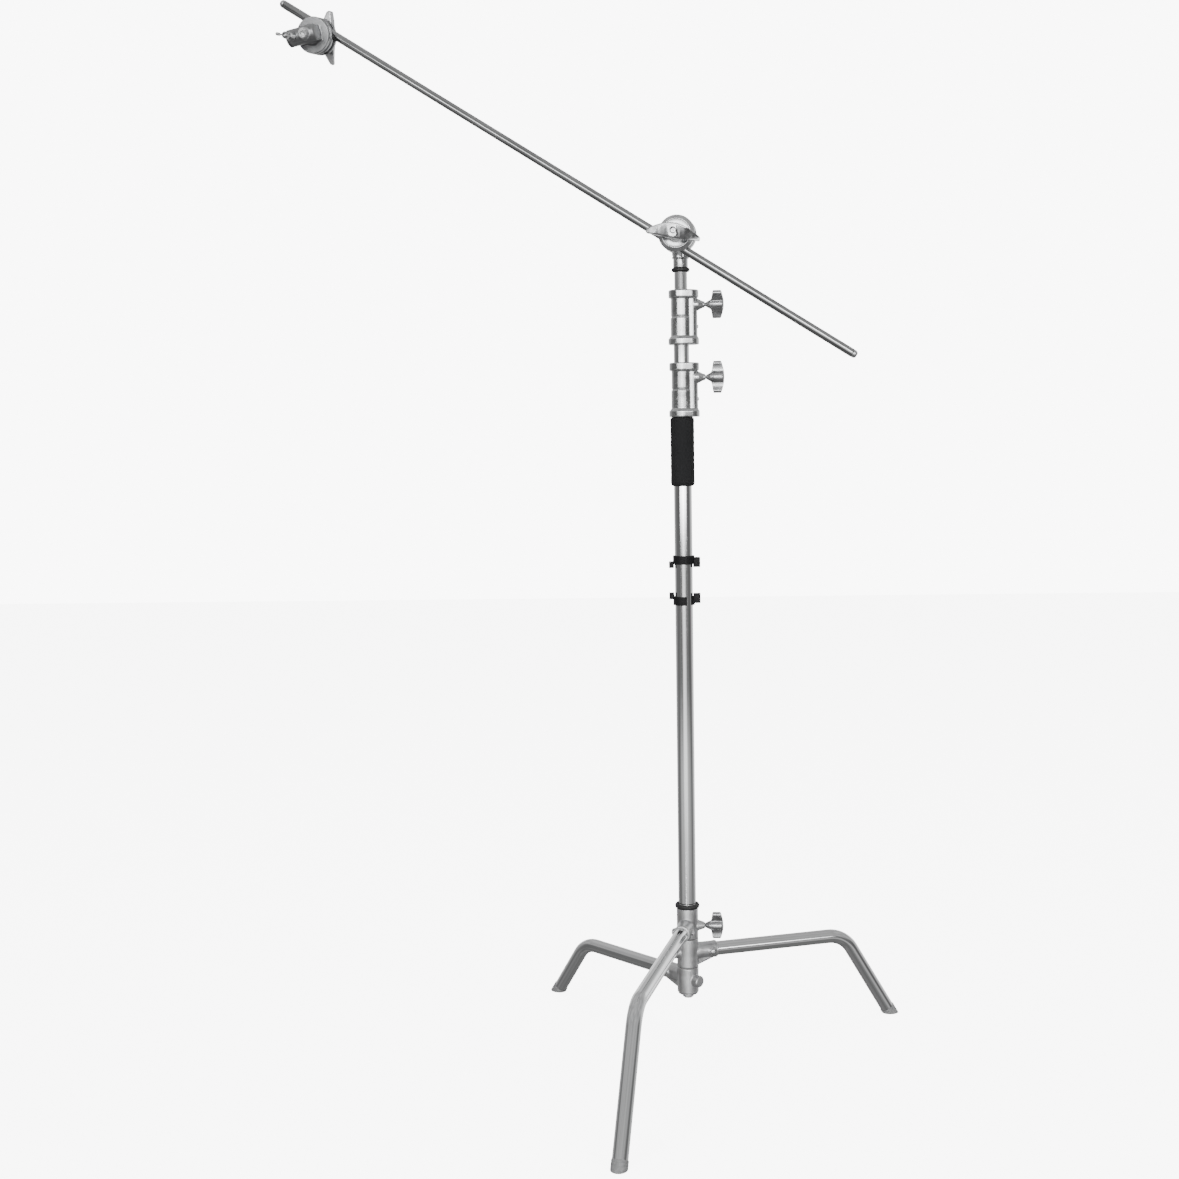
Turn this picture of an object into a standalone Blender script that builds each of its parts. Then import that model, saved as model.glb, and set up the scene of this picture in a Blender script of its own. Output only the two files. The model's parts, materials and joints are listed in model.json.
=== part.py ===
"""C stand: detachable three-leg base, column with two risers, two grip heads and a grip arm.

Units are metres, +Z is up and the feet stand on z = 0. Everything hangs under one empty, stand_root,
which sits on the column's axis. Each moving piece has its origin or its parent empty on its joint.
"""
import math

import bmesh
import bpy
from mathutils import Vector

GAP = 0.0003                    # clearance between pieces that touch

# The column's axis in the object's frame, which puts the middle of the whole box at x = y = 0.
COLUMN_X = 0.1711
COLUMN_Y = 0.1562

# Tubes (radii).
COLUMN_R = 0.0175
COLUMN_BORE_R = 0.0155
RISER_1_R = 0.0150
RISER_1_BORE_R = 0.0130
RISER_2_R = 0.0125
RISER_2_BORE_R = 0.0105
STUD_R = 0.0080
ROUND_STEPS = 24
TOOL_TWIST = math.radians(3.3)  # these keep a tool's corners off the edges that it meets
HOLE_TWIST = math.radians(8.1)

# Heights of the stand's stages above the floor.
HUB_BOTTOM_Z = 0.0945
HUB_TOP_Z = 0.2674
COLUMN_TOP_Z = 1.2980
COLUMN_COLLAR_Z = 1.2460
RISER_1_TOP_Z = 1.4370
RISER_COLLAR_Z = 1.3850
RISER_1_BOTTOM_Z = 0.3600
RISER_2_TOP_Z = 1.5315
RISER_2_BOTTOM_Z = 0.4300
STUD_SHOULDER_Z = 1.5480
STUD_TOP_Z = 1.5800
FOAM_BOTTOM_Z = 1.1120
FOAM_R = 0.0234
UPPER_CLIP_Z = 0.9675
LOWER_CLIP_Z = 0.8870
HEAD_1_Z = 1.5903
COLLAR_HEIGHT = 0.1045
COLLAR_FLANGE = 0.0155
COLLAR_SCREW_DROP = 0.0283      # screw axis below the collar's top
COLLAR_NECK_X = 0.0495

# Legs: the level part's height, the bend's corner and the foot, as radii from the column's axis.
LEG_R = 0.0140
LEG_BORE_R = 0.0122
LEG_BEND_R = 0.0600
LEG_START = 0.0300              # where a leg tube begins in its socket
TUBE_SHORT = 0.0120             # a leg tube stops this far up its slope from the floor
CAP_R = 0.0153
CAP_REACH = 0.0150
FRONT_BOLT_X = 0.0480
SIDE_BOLT_X = 0.0470
LEGS = {
    "front_leg": {"azimuth": -101.7, "z": 0.2310, "corner": 0.4470, "foot": 0.5780},
    "right_leg": {"azimuth": 18.3, "z": 0.1770, "corner": 0.3380, "foot": 0.4450},
    "left_leg": {"azimuth": 138.3, "z": 0.1272, "corner": 0.2920, "foot": 0.3820},
}
HUB_R = 0.0215
SPINDLE_R = 0.0175
SPINDLE_BORE_R = 0.0145
BRACKET_SPANS = {"right_leg": (0.1480, 0.2050), "left_leg": (0.0950, 0.1462)}
SOCKET_BOTTOM_Z = 0.2072
BASE_SCREW_Z = 0.2310
BASE_NECK_X = 0.0370

# Grip head, in its own frame: bolt along -Y, stud bore along Z, origin where they cross.
JAW_R = 0.0350
JAW_THICK = 0.0110
JAW_GAP = 0.0100
ROD_R = 0.0080
ROD_BORE_R = 0.0062
ROD_OFFSET = 0.0180             # the rod's axis beside the bolt's axis
PLATE_Y = 0.0180                # where the mount's round plate starts
PLATE_THICK = 0.0080
WASHER_THICK = 0.0017
HANDLE_LENGTH = 0.1030
BOLT_R = 0.0059
MOUNT_SCREW_DROP = 0.0270       # stud screw below the bolt
MOUNT_NECK_Y = 0.0290

# How the heads and the arm are set.
HEAD_TURN = -8.0                # the near head's azimuth about the column
ARM_PITCH = 32.8                # the arm's slope, its right end down
ARM_LEFT = -0.9090              # rod ends, along the arm from the near head
ARM_RIGHT = 0.4020
HEAD_2_X = -0.8180              # the far head's place along the arm
HEAD_2_ROLL = 190.0             # and its turn about the arm
HEAD_2_SWIVEL = 131.0           # the far head's mount about its bolt
HANDLE_1_TURN = -11.0
HANDLE_2_TURN = 58.0
SCREW_2_TURN = 70.0


def clear_scene():
    for thing in list(bpy.data.objects):
        bpy.data.objects.remove(thing, do_unlink=True)


def make_collection(name):
    collection = bpy.data.collections.new(name)
    bpy.context.scene.collection.children.link(collection)
    return collection


def make_material(name, colour, metallic, roughness):
    material = bpy.data.materials.new(name)
    material.use_nodes = True
    shader = material.node_tree.nodes["Principled BSDF"]
    shader.inputs["Base Color"].default_value = (*colour, 1.0)
    shader.inputs["Metallic"].default_value = metallic
    shader.inputs["Roughness"].default_value = roughness
    return material


clear_scene()
PARTS = make_collection("c_stand")
TOOLS = make_collection("cutters")
CHROME = {"colour": (0.62, 0.63, 0.64), "metallic": 1.0, "roughness": 0.14}
STEEL = {"colour": (0.52, 0.53, 0.54), "metallic": 1.0, "roughness": 0.28}
CAST = {"colour": (0.55, 0.56, 0.57), "metallic": 0.9, "roughness": 0.40}
RUBBER = {"colour": (0.03, 0.03, 0.03), "metallic": 0.0, "roughness": 0.75}
FOAM = {"colour": (0.02, 0.02, 0.02), "metallic": 0.0, "roughness": 0.90}
PLASTIC = {"colour": (0.03, 0.03, 0.03), "metallic": 0.0, "roughness": 0.45}
CAP = {"colour": (0.45, 0.46, 0.47), "metallic": 0.0, "roughness": 0.50}
NYLON = {"colour": (0.75, 0.74, 0.70), "metallic": 0.0, "roughness": 0.55}


def empty(name, parent=None, location=(0, 0, 0), rotation=(0, 0, 0)):
    thing = bpy.data.objects.new(name, None)
    PARTS.objects.link(thing)
    thing.parent = parent
    thing.location = location
    thing.rotation_euler = [math.radians(angle) for angle in rotation]
    return thing


def place(thing, parent, location=(0, 0, 0), rotation=(0, 0, 0)):
    thing.parent = parent
    thing.location = location
    thing.rotation_euler = [math.radians(angle) for angle in rotation]
    return thing


def finish(thing, look=None):
    """Give a part its own material, or hide it if it only shapes another piece."""
    for polygon in thing.data.polygons if thing.type == "MESH" else []:
        polygon.use_smooth = True
    if look:
        thing.data.materials.append(make_material(thing.name, **look))
        PARTS.objects.link(thing)
    else:
        thing.hide_render = True
        thing.display_type = "WIRE"
        TOOLS.objects.link(thing)
    return thing


def turned(name, profile, look=None, steps=ROUND_STEPS, twist=TOOL_TWIST):
    """Turn (radius, height) points about Z. They run down the outer side and end on the axis or close."""
    mesh = bpy.data.meshes.new(name)
    edges = [(i, i + 1) for i in range(len(profile) - 1)]
    if profile[0][0] > 0:
        edges.append((len(profile) - 1, 0))
    twist = 0.0 if look else twist
    mesh.from_pydata([(r * math.cos(twist), r * math.sin(twist), z) for r, z in profile], edges, [])
    thing = bpy.data.objects.new(name, mesh)
    screw = thing.modifiers.new("turn", "SCREW")
    screw.steps = steps
    screw.render_steps = steps
    screw.use_merge_vertices = True
    screw.merge_threshold = 0.00001
    screw.use_smooth_shade = True
    return finish(thing, look)


def ring(name, outer, inner, bottom, top, look=None, chamfer=0.0, steps=ROUND_STEPS):
    profile = [(outer, top - chamfer), (outer, bottom + chamfer)]
    if chamfer:
        profile.append((outer - chamfer, bottom))
    profile += [(inner, bottom), (inner, top)]
    if chamfer:
        profile.append((outer - chamfer, top))
    return turned(name, profile, look, steps)


def rod(name, radius, bottom, top, look=None, chamfer=0.0, steps=ROUND_STEPS):
    if chamfer:
        profile = [(0, top), (radius - chamfer, top), (radius, top - chamfer)]
        profile += [(radius, bottom + chamfer), (radius - chamfer, bottom), (0, bottom)]
    else:
        profile = [(0, top), (radius, top), (radius, bottom), (0, bottom)]
    return turned(name, profile, look, steps)


def hole(name, radius, bottom, top, steps=20):
    profile = [(0, top), (radius, top), (radius, bottom), (0, bottom)]
    return turned(name, profile, None, steps, HOLE_TWIST)


def mesh_from_curve(curve_object):
    """Swap a curve object for the closed mesh that it draws."""
    bpy.context.scene.collection.objects.link(curve_object)
    bpy.context.view_layer.update()
    graph = bpy.context.evaluated_depsgraph_get()
    mesh = bpy.data.meshes.new_from_object(curve_object.evaluated_get(graph))
    work = bmesh.new()
    work.from_mesh(mesh)
    bmesh.ops.remove_doubles(work, verts=work.verts, dist=0.00001)
    work.to_mesh(mesh)
    work.free()
    mesh.materials.clear()
    name = curve_object.name
    thing = bpy.data.objects.new(name, mesh)
    thing.matrix_world = curve_object.matrix_world
    bpy.data.objects.remove(curve_object, do_unlink=True)
    thing.name = name
    return thing


def prism(name, outline, bottom, top, look=None, round_edge=0.0):
    """Extrude a closed (x, y) outline along Z, from bottom to top."""
    curve = bpy.data.curves.new(name, "CURVE")
    curve.dimensions = "2D"
    curve.fill_mode = "BOTH"
    curve.extrude = (top - bottom) / 2 - round_edge
    curve.bevel_depth = round_edge
    curve.bevel_resolution = 0
    curve.offset = -round_edge
    spline = curve.splines.new("POLY")
    spline.points.add(len(outline) - 1)
    for point, (x, y) in zip(spline.points, outline):
        point.co = (x, y, 0, 1)
    spline.use_cyclic_u = True
    thing = mesh_from_curve(bpy.data.objects.new(name, curve))
    for vertex in thing.data.vertices:
        vertex.co.z += (top + bottom) / 2
    return finish(thing, look)


def swept(name, points, radius, look=None, sides=12):
    """Sweep a round section along points."""
    curve = bpy.data.curves.new(name, "CURVE")
    curve.dimensions = "3D"
    curve.bevel_depth = radius
    curve.bevel_resolution = (sides - 4) // 2
    curve.use_fill_caps = True
    spline = curve.splines.new("POLY")
    spline.points.add(len(points) - 1)
    for point, place_at in zip(spline.points, points):
        point.co = (*place_at, 1)
        point.tilt = 0.0 if look else TOOL_TWIST
    return finish(mesh_from_curve(bpy.data.objects.new(name, curve)), look)


def box(name, low, high, look=None):
    mesh = bpy.data.meshes.new(name)
    work = bmesh.new()
    bmesh.ops.create_cube(work, size=1.0)
    low, high = Vector(low), Vector(high)
    for vertex in work.verts:
        vertex.co = (low + high) / 2 + Vector(a * b for a, b in zip(vertex.co, high - low))
    work.to_mesh(mesh)
    work.free()
    return finish(bpy.data.objects.new(name, mesh), look)


def combine(thing, operation, *tools):
    for tool in tools:
        step = thing.modifiers.new(operation.lower(), "BOOLEAN")
        step.operation = operation
        step.object = tool
    return thing


def arc(radius, start, end, steps, centre=(0.0, 0.0)):
    """Points on an arc, in degrees."""
    angles = [math.radians(start + (end - start) * i / steps) for i in range(steps + 1)]
    return [(centre[0] + radius * math.cos(a), centre[1] + radius * math.sin(a)) for a in angles]


def egg(big, small, distance, steps=7):
    """Outline round a circle at the origin and a smaller one at +X, with straight sides."""
    tangent = math.degrees(math.acos((big - small) / distance))
    outline = arc(big, tangent, 360 - tangent, 2 * steps + 1)
    return outline + arc(small, -tangent, tangent, steps, (distance, 0.0))


def lens(length, width, tip, bow=0.0):
    """Outline of a wing handle: wide in the middle, with round tips that a bow drops towards -Y."""
    reach = length / 2 - tip
    side = [-1 + 2 * i / 8 for i in range(9)]
    upper = [(reach * t, tip + (width / 2 - tip) * math.cos(math.pi * t / 2)) for t in reversed(side)]
    left = arc(tip, 90, 270, 4, (-reach, 0))[1:-1]
    lower = [(reach * t, -tip - (width / 2 - tip) * math.cos(math.pi * t / 2)) for t in side]
    right = arc(tip, -90, 90, 4, (reach, 0))[1:-1]
    return [(x, y - bow * (2 * x / length) ** 2) for x, y in upper + left + lower + right]


def wing_handle(name, parent, location, rotation, length, width, depth, neck, shank, look):
    """T-handle on its screw. The screw's axis is local Z and the origin is at the handle's neck."""
    hub_r = width * 0.42
    screw_r, screw_end = shank
    profile = [(0, neck + depth * 0.9), (hub_r * 0.9, neck + depth * 0.9), (hub_r, neck + depth * 0.5)]
    profile += [(hub_r, neck), (hub_r * 0.55, 0.0), (screw_r, 0.0), (screw_r, -screw_end), (0, -screw_end)]
    thing = turned(name, profile, look, 20)
    wings = prism(name + "_wings", lens(length, width, width * 0.26), neck, neck + depth, None, 0.003)
    for piece in (thing, wings):
        place(piece, parent, location, rotation)
    return combine(thing, "UNION", wings)


def floor_slab(parent):
    return place(box("floor_slab", (-0.9, -0.9, -0.08), (0.9, 0.9, 0.0)), parent)


def leg_path(leg, start, short):
    """Centre line of a leg: level, round the bend, then down to a point short of the floor."""
    drop = math.atan2(leg["z"], leg["foot"] - leg["corner"])
    tangent = LEG_BEND_R * math.tan(drop / 2)
    first = leg["corner"] - tangent
    path = [(start, 0, leg["z"])]
    for i in range(7):
        angle = drop * i / 6
        x = first + LEG_BEND_R * math.sin(angle)
        path.append((x, 0, leg["z"] - LEG_BEND_R * (1 - math.cos(angle))))
    path.append((leg["foot"] - short * math.cos(drop), 0, short * math.sin(drop)))
    return path, math.degrees(drop)


def leg_pieces(name, pivot, slab):
    """One leg's tube and foot cap."""
    leg = LEGS[name]
    path, drop = leg_path(leg, LEG_START, TUBE_SHORT)
    bore_path, _ = leg_path(leg, LEG_START - 0.010, TUBE_SHORT - 0.010)
    tube = place(swept(name + "_tube", path, LEG_R, CHROME), pivot)
    bore = place(swept(name + "_bore", bore_path, LEG_BORE_R), pivot)
    combine(tube, "DIFFERENCE", bore)
    floor = TUBE_SHORT - GAP
    profile = [(CAP_R - 0.0004, CAP_REACH), (CAP_R, CAP_REACH - 0.0010), (CAP_R, -0.014), (0, -0.014)]
    profile += [(0, floor), (LEG_R + GAP, floor), (LEG_R + GAP, CAP_REACH)]
    cap = turned(name + "_foot", profile, CAP, 20)
    place(cap, pivot, (leg["foot"], 0, 0), (0, drop - 90, 0))
    combine(cap, "DIFFERENCE", slab)
    return tube, cap


def leg_boss(name, pivot, leg, reach):
    """Socket that holds the leg tube, and the hole through it."""
    boss = rod(name + "_boss", 0.0169, 0.005, reach, None, 0.0015, 24)
    socket = hole(name + "_leg_hole", LEG_R + GAP, LEG_START - 0.0015, reach + 0.01)
    for piece in (boss, socket):
        place(piece, pivot, (0, 0, leg["z"]), (0, 90, 0))
    return boss, socket


def cross_bolt(name, pivot, x, z):
    """Round-headed bolt across a leg socket, along the pivot's Y."""
    reach, head_r, shank_r = 0.0176, 0.0065, 0.0030
    profile = [(0, reach + 0.005), (head_r * 0.7, reach + 0.005), (head_r, reach + 0.0025), (head_r, reach)]
    profile += [(shank_r, reach), (shank_r, -reach - 0.004), (0, -reach - 0.004)]
    return place(turned(name, profile, STEEL, 20), pivot, (x, 0, z), (90, 0, 0))


def bolt_hole(name, pivot, x, z):
    return place(hole(name, 0.0034, -0.04, 0.04, 16), pivot, (x, 0, z), (90, 0, 0))


def make_base(root):
    slab = floor_slab(root)
    spindle_wall = [(SPINDLE_R, HUB_TOP_Z - GAP), (SPINDLE_R, HUB_BOTTOM_Z), (0.0063, HUB_BOTTOM_Z)]
    spindle_wall += [(0.0063, 0.1045), (SPINDLE_BORE_R, 0.1045), (SPINDLE_BORE_R, HUB_TOP_Z - GAP)]
    spindle = place(turned("hub_spindle", spindle_wall, STEEL), root)
    bolt = [(0, 0.1130), (0.0095, 0.1130), (0.0095, 0.1048), (BOLT_R, 0.1048), (BOLT_R, 0.0815), (0, 0.0815)]
    place(turned("hub_tie_bolt", bolt, STEEL, 20), root)
    place(ring("hub_washer", 0.0195, 0.0062, 0.0917, 0.0942, STEEL, 0.0006), root)
    nut = place(prism("hub_nut", arc(0.0110, 0, 300, 5), 0.0835, 0.0914, STEEL), root)
    combine(nut, "DIFFERENCE", place(hole("hub_nut_thread", BOLT_R + GAP, 0.07, 0.10), root))
    place(ring("lower_thrust_washer", 0.0212, 0.0178, 0.1465, 0.1477, NYLON), root)
    place(ring("upper_thrust_washer", 0.0212, 0.0178, 0.2053, 0.2069, NYLON), root)
    oring = [(r * 0.75 + 0.0178 + 0.0034, z + 0.2722) for r, z in arc(0.0045, 90, -225, 7)]
    place(turned("base_o_ring", oring, RUBBER), root)

    socket = rod("base_socket", HUB_R, SOCKET_BOTTOM_Z, HUB_TOP_Z, CAST, 0.0015)
    place(socket, root)
    front = empty("front_leg_socket", root, rotation=(0, 0, LEGS["front_leg"]["azimuth"]))
    boss, leg_hole = leg_boss("front_leg", front, LEGS["front_leg"], 0.062)
    cone = [(0, 0.035), (0.0062, 0.035), (0.0115, 0.020), (0.0115, 0.010), (0, 0.010)]
    knob_boss = turned("base_knob_boss", cone)
    knob_hole = hole("base_knob_hole", 0.0044, 0.010, 0.045)
    for piece in (knob_boss, knob_hole):
        place(piece, root, (0, 0, BASE_SCREW_Z), (0, 90, 0))
    bore = place(hole("base_bore", SPINDLE_R + GAP, 0.19, 0.28, 24), root)
    pin_hole = bolt_hole("front_leg_bolt_hole", front, FRONT_BOLT_X, LEGS["front_leg"]["z"])
    combine(socket, "UNION", boss, knob_boss)
    combine(socket, "DIFFERENCE", bore, leg_hole, knob_hole, pin_hole)
    combine(spindle, "DIFFERENCE", knob_hole)
    cross_bolt("front_leg_bolt", front, FRONT_BOLT_X, LEGS["front_leg"]["z"])
    combine(leg_pieces("front_leg", front, slab)[0], "DIFFERENCE", pin_hole)

    for name, (bottom, top) in BRACKET_SPANS.items():
        leg = LEGS[name]
        pivot = empty(name + "_swing", root, rotation=(0, 0, leg["azimuth"]))
        bracket = rod(name + "_bracket", HUB_R, bottom, top, CAST, 0.0015)
        place(bracket, pivot)
        boss, leg_hole = leg_boss(name, pivot, leg, 0.060)
        through = place(hole(name + "_bore_hole", SPINDLE_R + GAP, bottom - 0.02, top + 0.02, 24), pivot)
        pin_hole = bolt_hole(name + "_bolt_hole", pivot, SIDE_BOLT_X, leg["z"])
        combine(bracket, "UNION", boss)
        combine(bracket, "DIFFERENCE", through, leg_hole, pin_hole)
        cross_bolt(name + "_bolt", pivot, SIDE_BOLT_X, leg["z"])
        combine(leg_pieces(name, pivot, slab)[0], "DIFFERENCE", pin_hole)

    knob = empty("base_knob_axis", root, (BASE_NECK_X, 0, BASE_SCREW_Z), (0, 90, 0))
    wing_handle("base_knob", knob, (0, 0, 0), (0, 0, 15), 0.060, 0.022, 0.025, 0.010, (0.0040, 0.0220), CAST)


def make_collar(name, parent, bottom, tube_r, riser_r, turn):
    """Clamp collar: casting, liner bush, brake shoe and wing screw. It grips the tube that slides in it."""
    top = bottom + COLLAR_HEIGHT
    screw_z = top - COLLAR_SCREW_DROP
    collar = prism(name, egg(0.0200, 0.0125, 0.0190, 8), bottom + 0.004, top - 0.004, CAST)
    lower = prism(name + "_lower_flange", egg(0.0250, 0.0155, 0.0190), bottom, bottom + COLLAR_FLANGE)
    upper = prism(name + "_upper_flange", egg(0.0240, 0.0150, 0.0190), top - COLLAR_FLANGE, top)
    neck = COLLAR_NECK_X - 0.0035
    cone = [(0, neck), (0.0058, neck), (0.0113, 0.0325), (0.0113, 0.0215), (0, 0.0215)]
    boss = turned(name + "_screw_boss", cone, None, 20)
    screw_hole = hole(name + "_screw_hole", 0.0046, 0.009, 0.06)
    tube_hole = hole(name + "_tube_hole", tube_r + GAP, bottom - 0.01, top + 0.01, 24)
    for piece in (collar, lower, upper, tube_hole):
        place(piece, parent)
    for piece in (boss, screw_hole):
        place(piece, parent, (0, 0, screw_z), (0, 90, 0))
    combine(collar, "UNION", lower, upper, boss)
    combine(collar, "DIFFERENCE", tube_hole, screw_hole)
    bush = ring(name + "_bush", tube_r, riser_r + GAP, bottom + 0.0525, top - 0.001, NYLON)
    combine(place(bush, parent), "DIFFERENCE", screw_hole)
    shoe = rod(name + "_shoe", 0.0042, riser_r + GAP + 0.0002, 0.0208, NYLON, 0.0, 20)
    place(shoe, parent, (0, 0, screw_z), (0, 90, 0))
    axis = empty(name + "_screw_axis", parent, (COLLAR_NECK_X, 0, screw_z), (0, 90, 0))
    shank = (0.0040, COLLAR_NECK_X - 0.0212)
    wing_handle(name + "_knob", axis, (0, 0, 0), (0, 0, turn), 0.062, 0.022, 0.025, 0.008, shank, CAST)


def make_clip(name, parent, z, flip):
    """Snap-on cord clip: an open ring with a slotted block on one side and a thumb tab on the other."""
    carrier = empty(name + "_carrier", parent, (0, 0, z), (180 if flip else 0, 0, 0))
    outline = arc(0.0212, -30, 286, 20) + arc(COLUMN_R + 0.0006, 286, -30, 20)
    clip = prism(name, outline, -0.0085, 0.0085, PLASTIC)
    block = box(name + "_block", (0.0185, -0.0075, -0.0050), (0.0325, 0.0075, 0.0145))
    tab = box(name + "_tab", (-0.0290, -0.0065, 0.0030), (-0.0190, 0.0065, 0.0160))
    slot = box(name + "_slot", (0.0245, -0.0030, -0.0100), (0.0400, 0.0030, 0.0200))
    for piece in (clip, block, tab, slot):
        place(piece, carrier)
    combine(clip, "UNION", block, tab)
    combine(clip, "DIFFERENCE", slot)


def make_column(root):
    column = empty("column_lift", root)
    place(ring("column_tube", COLUMN_R, COLUMN_BORE_R, HUB_TOP_Z + GAP, COLUMN_TOP_Z, CHROME), column)
    spigot = [(0.0151, 0.3050), (0.0151, HUB_TOP_Z + GAP), (0.0142, HUB_TOP_Z + GAP), (0.0142, 0.1520)]
    place(turned("column_spigot", spigot + [(0.0110, 0.1520), (0.0110, 0.3050)], STEEL), column)
    foam_low, foam_high, r = FOAM_BOTTOM_Z, COLUMN_COLLAR_Z - GAP, FOAM_R
    foam = [(r - 0.002, foam_high), (r, foam_high - 0.003), (r, foam_low + 0.006)]
    foam += [(r - 0.0015, foam_low + 0.0018), (r - 0.004, foam_low), (COLUMN_R + GAP, foam_low)]
    place(turned("foam_grip", foam + [(COLUMN_R + GAP, foam_high)], FOAM), column)
    make_collar("column_collar", column, COLUMN_COLLAR_Z, COLUMN_R, RISER_1_R, 0)
    make_clip("upper_clip", column, UPPER_CLIP_Z, True)
    make_clip("lower_clip", column, LOWER_CLIP_Z, False)


def end_plug(name, parent, tube_r, bore_r, bottom):
    profile = [(bore_r - GAP, bottom + 0.020), (bore_r - GAP, bottom - GAP), (tube_r, bottom - GAP)]
    profile += [(tube_r, bottom - 0.008), (bore_r - 0.003, bottom - 0.008), (bore_r - 0.003, bottom + 0.020)]
    place(turned(name, profile, NYLON), parent)


def make_risers(root):
    first = empty("riser_1_slide", root)
    place(ring("riser_1_tube", RISER_1_R, RISER_1_BORE_R, RISER_1_BOTTOM_Z, RISER_1_TOP_Z, CHROME), first)
    end_plug("riser_1_end_plug", first, RISER_1_R, RISER_1_BORE_R, RISER_1_BOTTOM_Z)
    make_collar("riser_collar", first, RISER_COLLAR_Z, RISER_1_R, RISER_2_R, 38)
    second = empty("riser_2_slide", root)
    top = RISER_2_TOP_Z - GAP
    place(ring("riser_2_tube", RISER_2_R, RISER_2_BORE_R, RISER_2_BOTTOM_Z, top, CHROME), second)
    end_plug("riser_2_end_plug", second, RISER_2_R, RISER_2_BORE_R, RISER_2_BOTTOM_Z)
    top, inner = RISER_2_TOP_Z + 0.0001, RISER_2_R + GAP
    bumper = [(0.0150, top), (0.0175, top - 0.0016), (0.0175, top - 0.0058), (0.0150, top - 0.0076)]
    place(turned("riser_o_ring", bumper + [(inner, top - 0.0076), (inner, top)], RUBBER), second)
    seat, plug_r = RISER_2_TOP_Z + 0.0004, RISER_2_BORE_R - GAP
    stud = [(0, STUD_TOP_Z), (0.0065, STUD_TOP_Z), (STUD_R, STUD_TOP_Z - 0.0015), (STUD_R, STUD_SHOULDER_Z)]
    stud += [(0.0140, STUD_SHOULDER_Z), (0.0143, STUD_SHOULDER_Z - 0.0004), (0.0143, seat + 0.0003)]
    stud += [(RISER_2_R, seat), (plug_r, seat), (plug_r, seat - 0.0320), (0, seat - 0.0320)]
    place(turned("stand_stud", stud, STEEL), second)


def jaw(name, pivot, face_y, side):
    """Jaw disc, with V grooves across the face that meets the rod. side is the way that the face looks."""
    back = face_y - side * JAW_THICK
    low, high = min(face_y, back), max(face_y, back)
    disc = ring(name, JAW_R, BOLT_R + GAP, low, high, CAST, 0.0015)
    # Turned about Z and laid along Y: local Z of the disc is -Y of the head.
    place(disc, pivot, (0, 0, 0), (90, 0, 0))
    cuts = []
    for mark, offset, reach in (("big", -ROD_OFFSET, 0.0118), ("small", 0.0200, 0.0090)):
        tip = face_y + side * (JAW_GAP / 2 - reach)
        edge = face_y + side * 0.002
        half = abs(tip - edge)
        cut = prism(name + "_" + mark + "_groove", [(tip, 0.0), (edge, half), (edge, -half)], -0.045, 0.045)
        cuts.append(place(cut, pivot, (0, 0, offset), (90, 0, -90)))
    combine(disc, "DIFFERENCE", *cuts)
    return disc


def make_mount(name, frame, screw_turn):
    """The head's mount: stud bore with its screw boss, and the round plate that the jaws turn against."""
    mount = rod(name + "_mount", 0.0165, -0.0415, 0.0200, CAST, 0.0015)
    plate = ring(name + "_plate", JAW_R, BOLT_R + GAP, PLATE_Y, PLATE_Y + PLATE_THICK, None, 0.0012)
    web = box(name + "_web", (-0.0148, -0.0200, -0.0280), (0.0148, -0.0020, 0.0180))
    cone = [(0, 0.026), (0.0070, 0.026), (0.0090, 0.021), (0.0090, 0.008), (0, 0.008)]
    boss = turned(name + "_boss", cone, None, 20)
    bore = hole(name + "_stud_bore", STUD_R + GAP, -0.060, -0.0098)
    bolt_hole_tool = hole(name + "_bolt_hole", BOLT_R + GAP, -0.04, 0.04)
    screw_hole = hole(name + "_screw_hole", 0.0038, 0.004, 0.04)
    for piece in (mount, bore, web):
        place(piece, frame)
    for piece in (plate, bolt_hole_tool):
        place(piece, frame, (0, 0, 0), (90, 0, 0))
    for piece in (boss, screw_hole):
        place(piece, frame, (0, 0, -MOUNT_SCREW_DROP), (-90, 0, 0))
    combine(mount, "UNION", web, plate, boss)
    combine(mount, "DIFFERENCE", bore, bolt_hole_tool, screw_hole)
    neck = (0, MOUNT_NECK_Y, -MOUNT_SCREW_DROP)
    screw_axis = empty(name + "_stud_screw_axis", frame, neck, (-90, 0, 0))
    shank = (0.0035, MOUNT_NECK_Y - STUD_R - 2 * GAP)
    turn = (0, 0, screw_turn)
    wing_handle(name + "_stud_screw", screw_axis, (0, 0, 0), turn, 0.038, 0.0145, 0.014, 0.006, shank, CAST)


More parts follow.
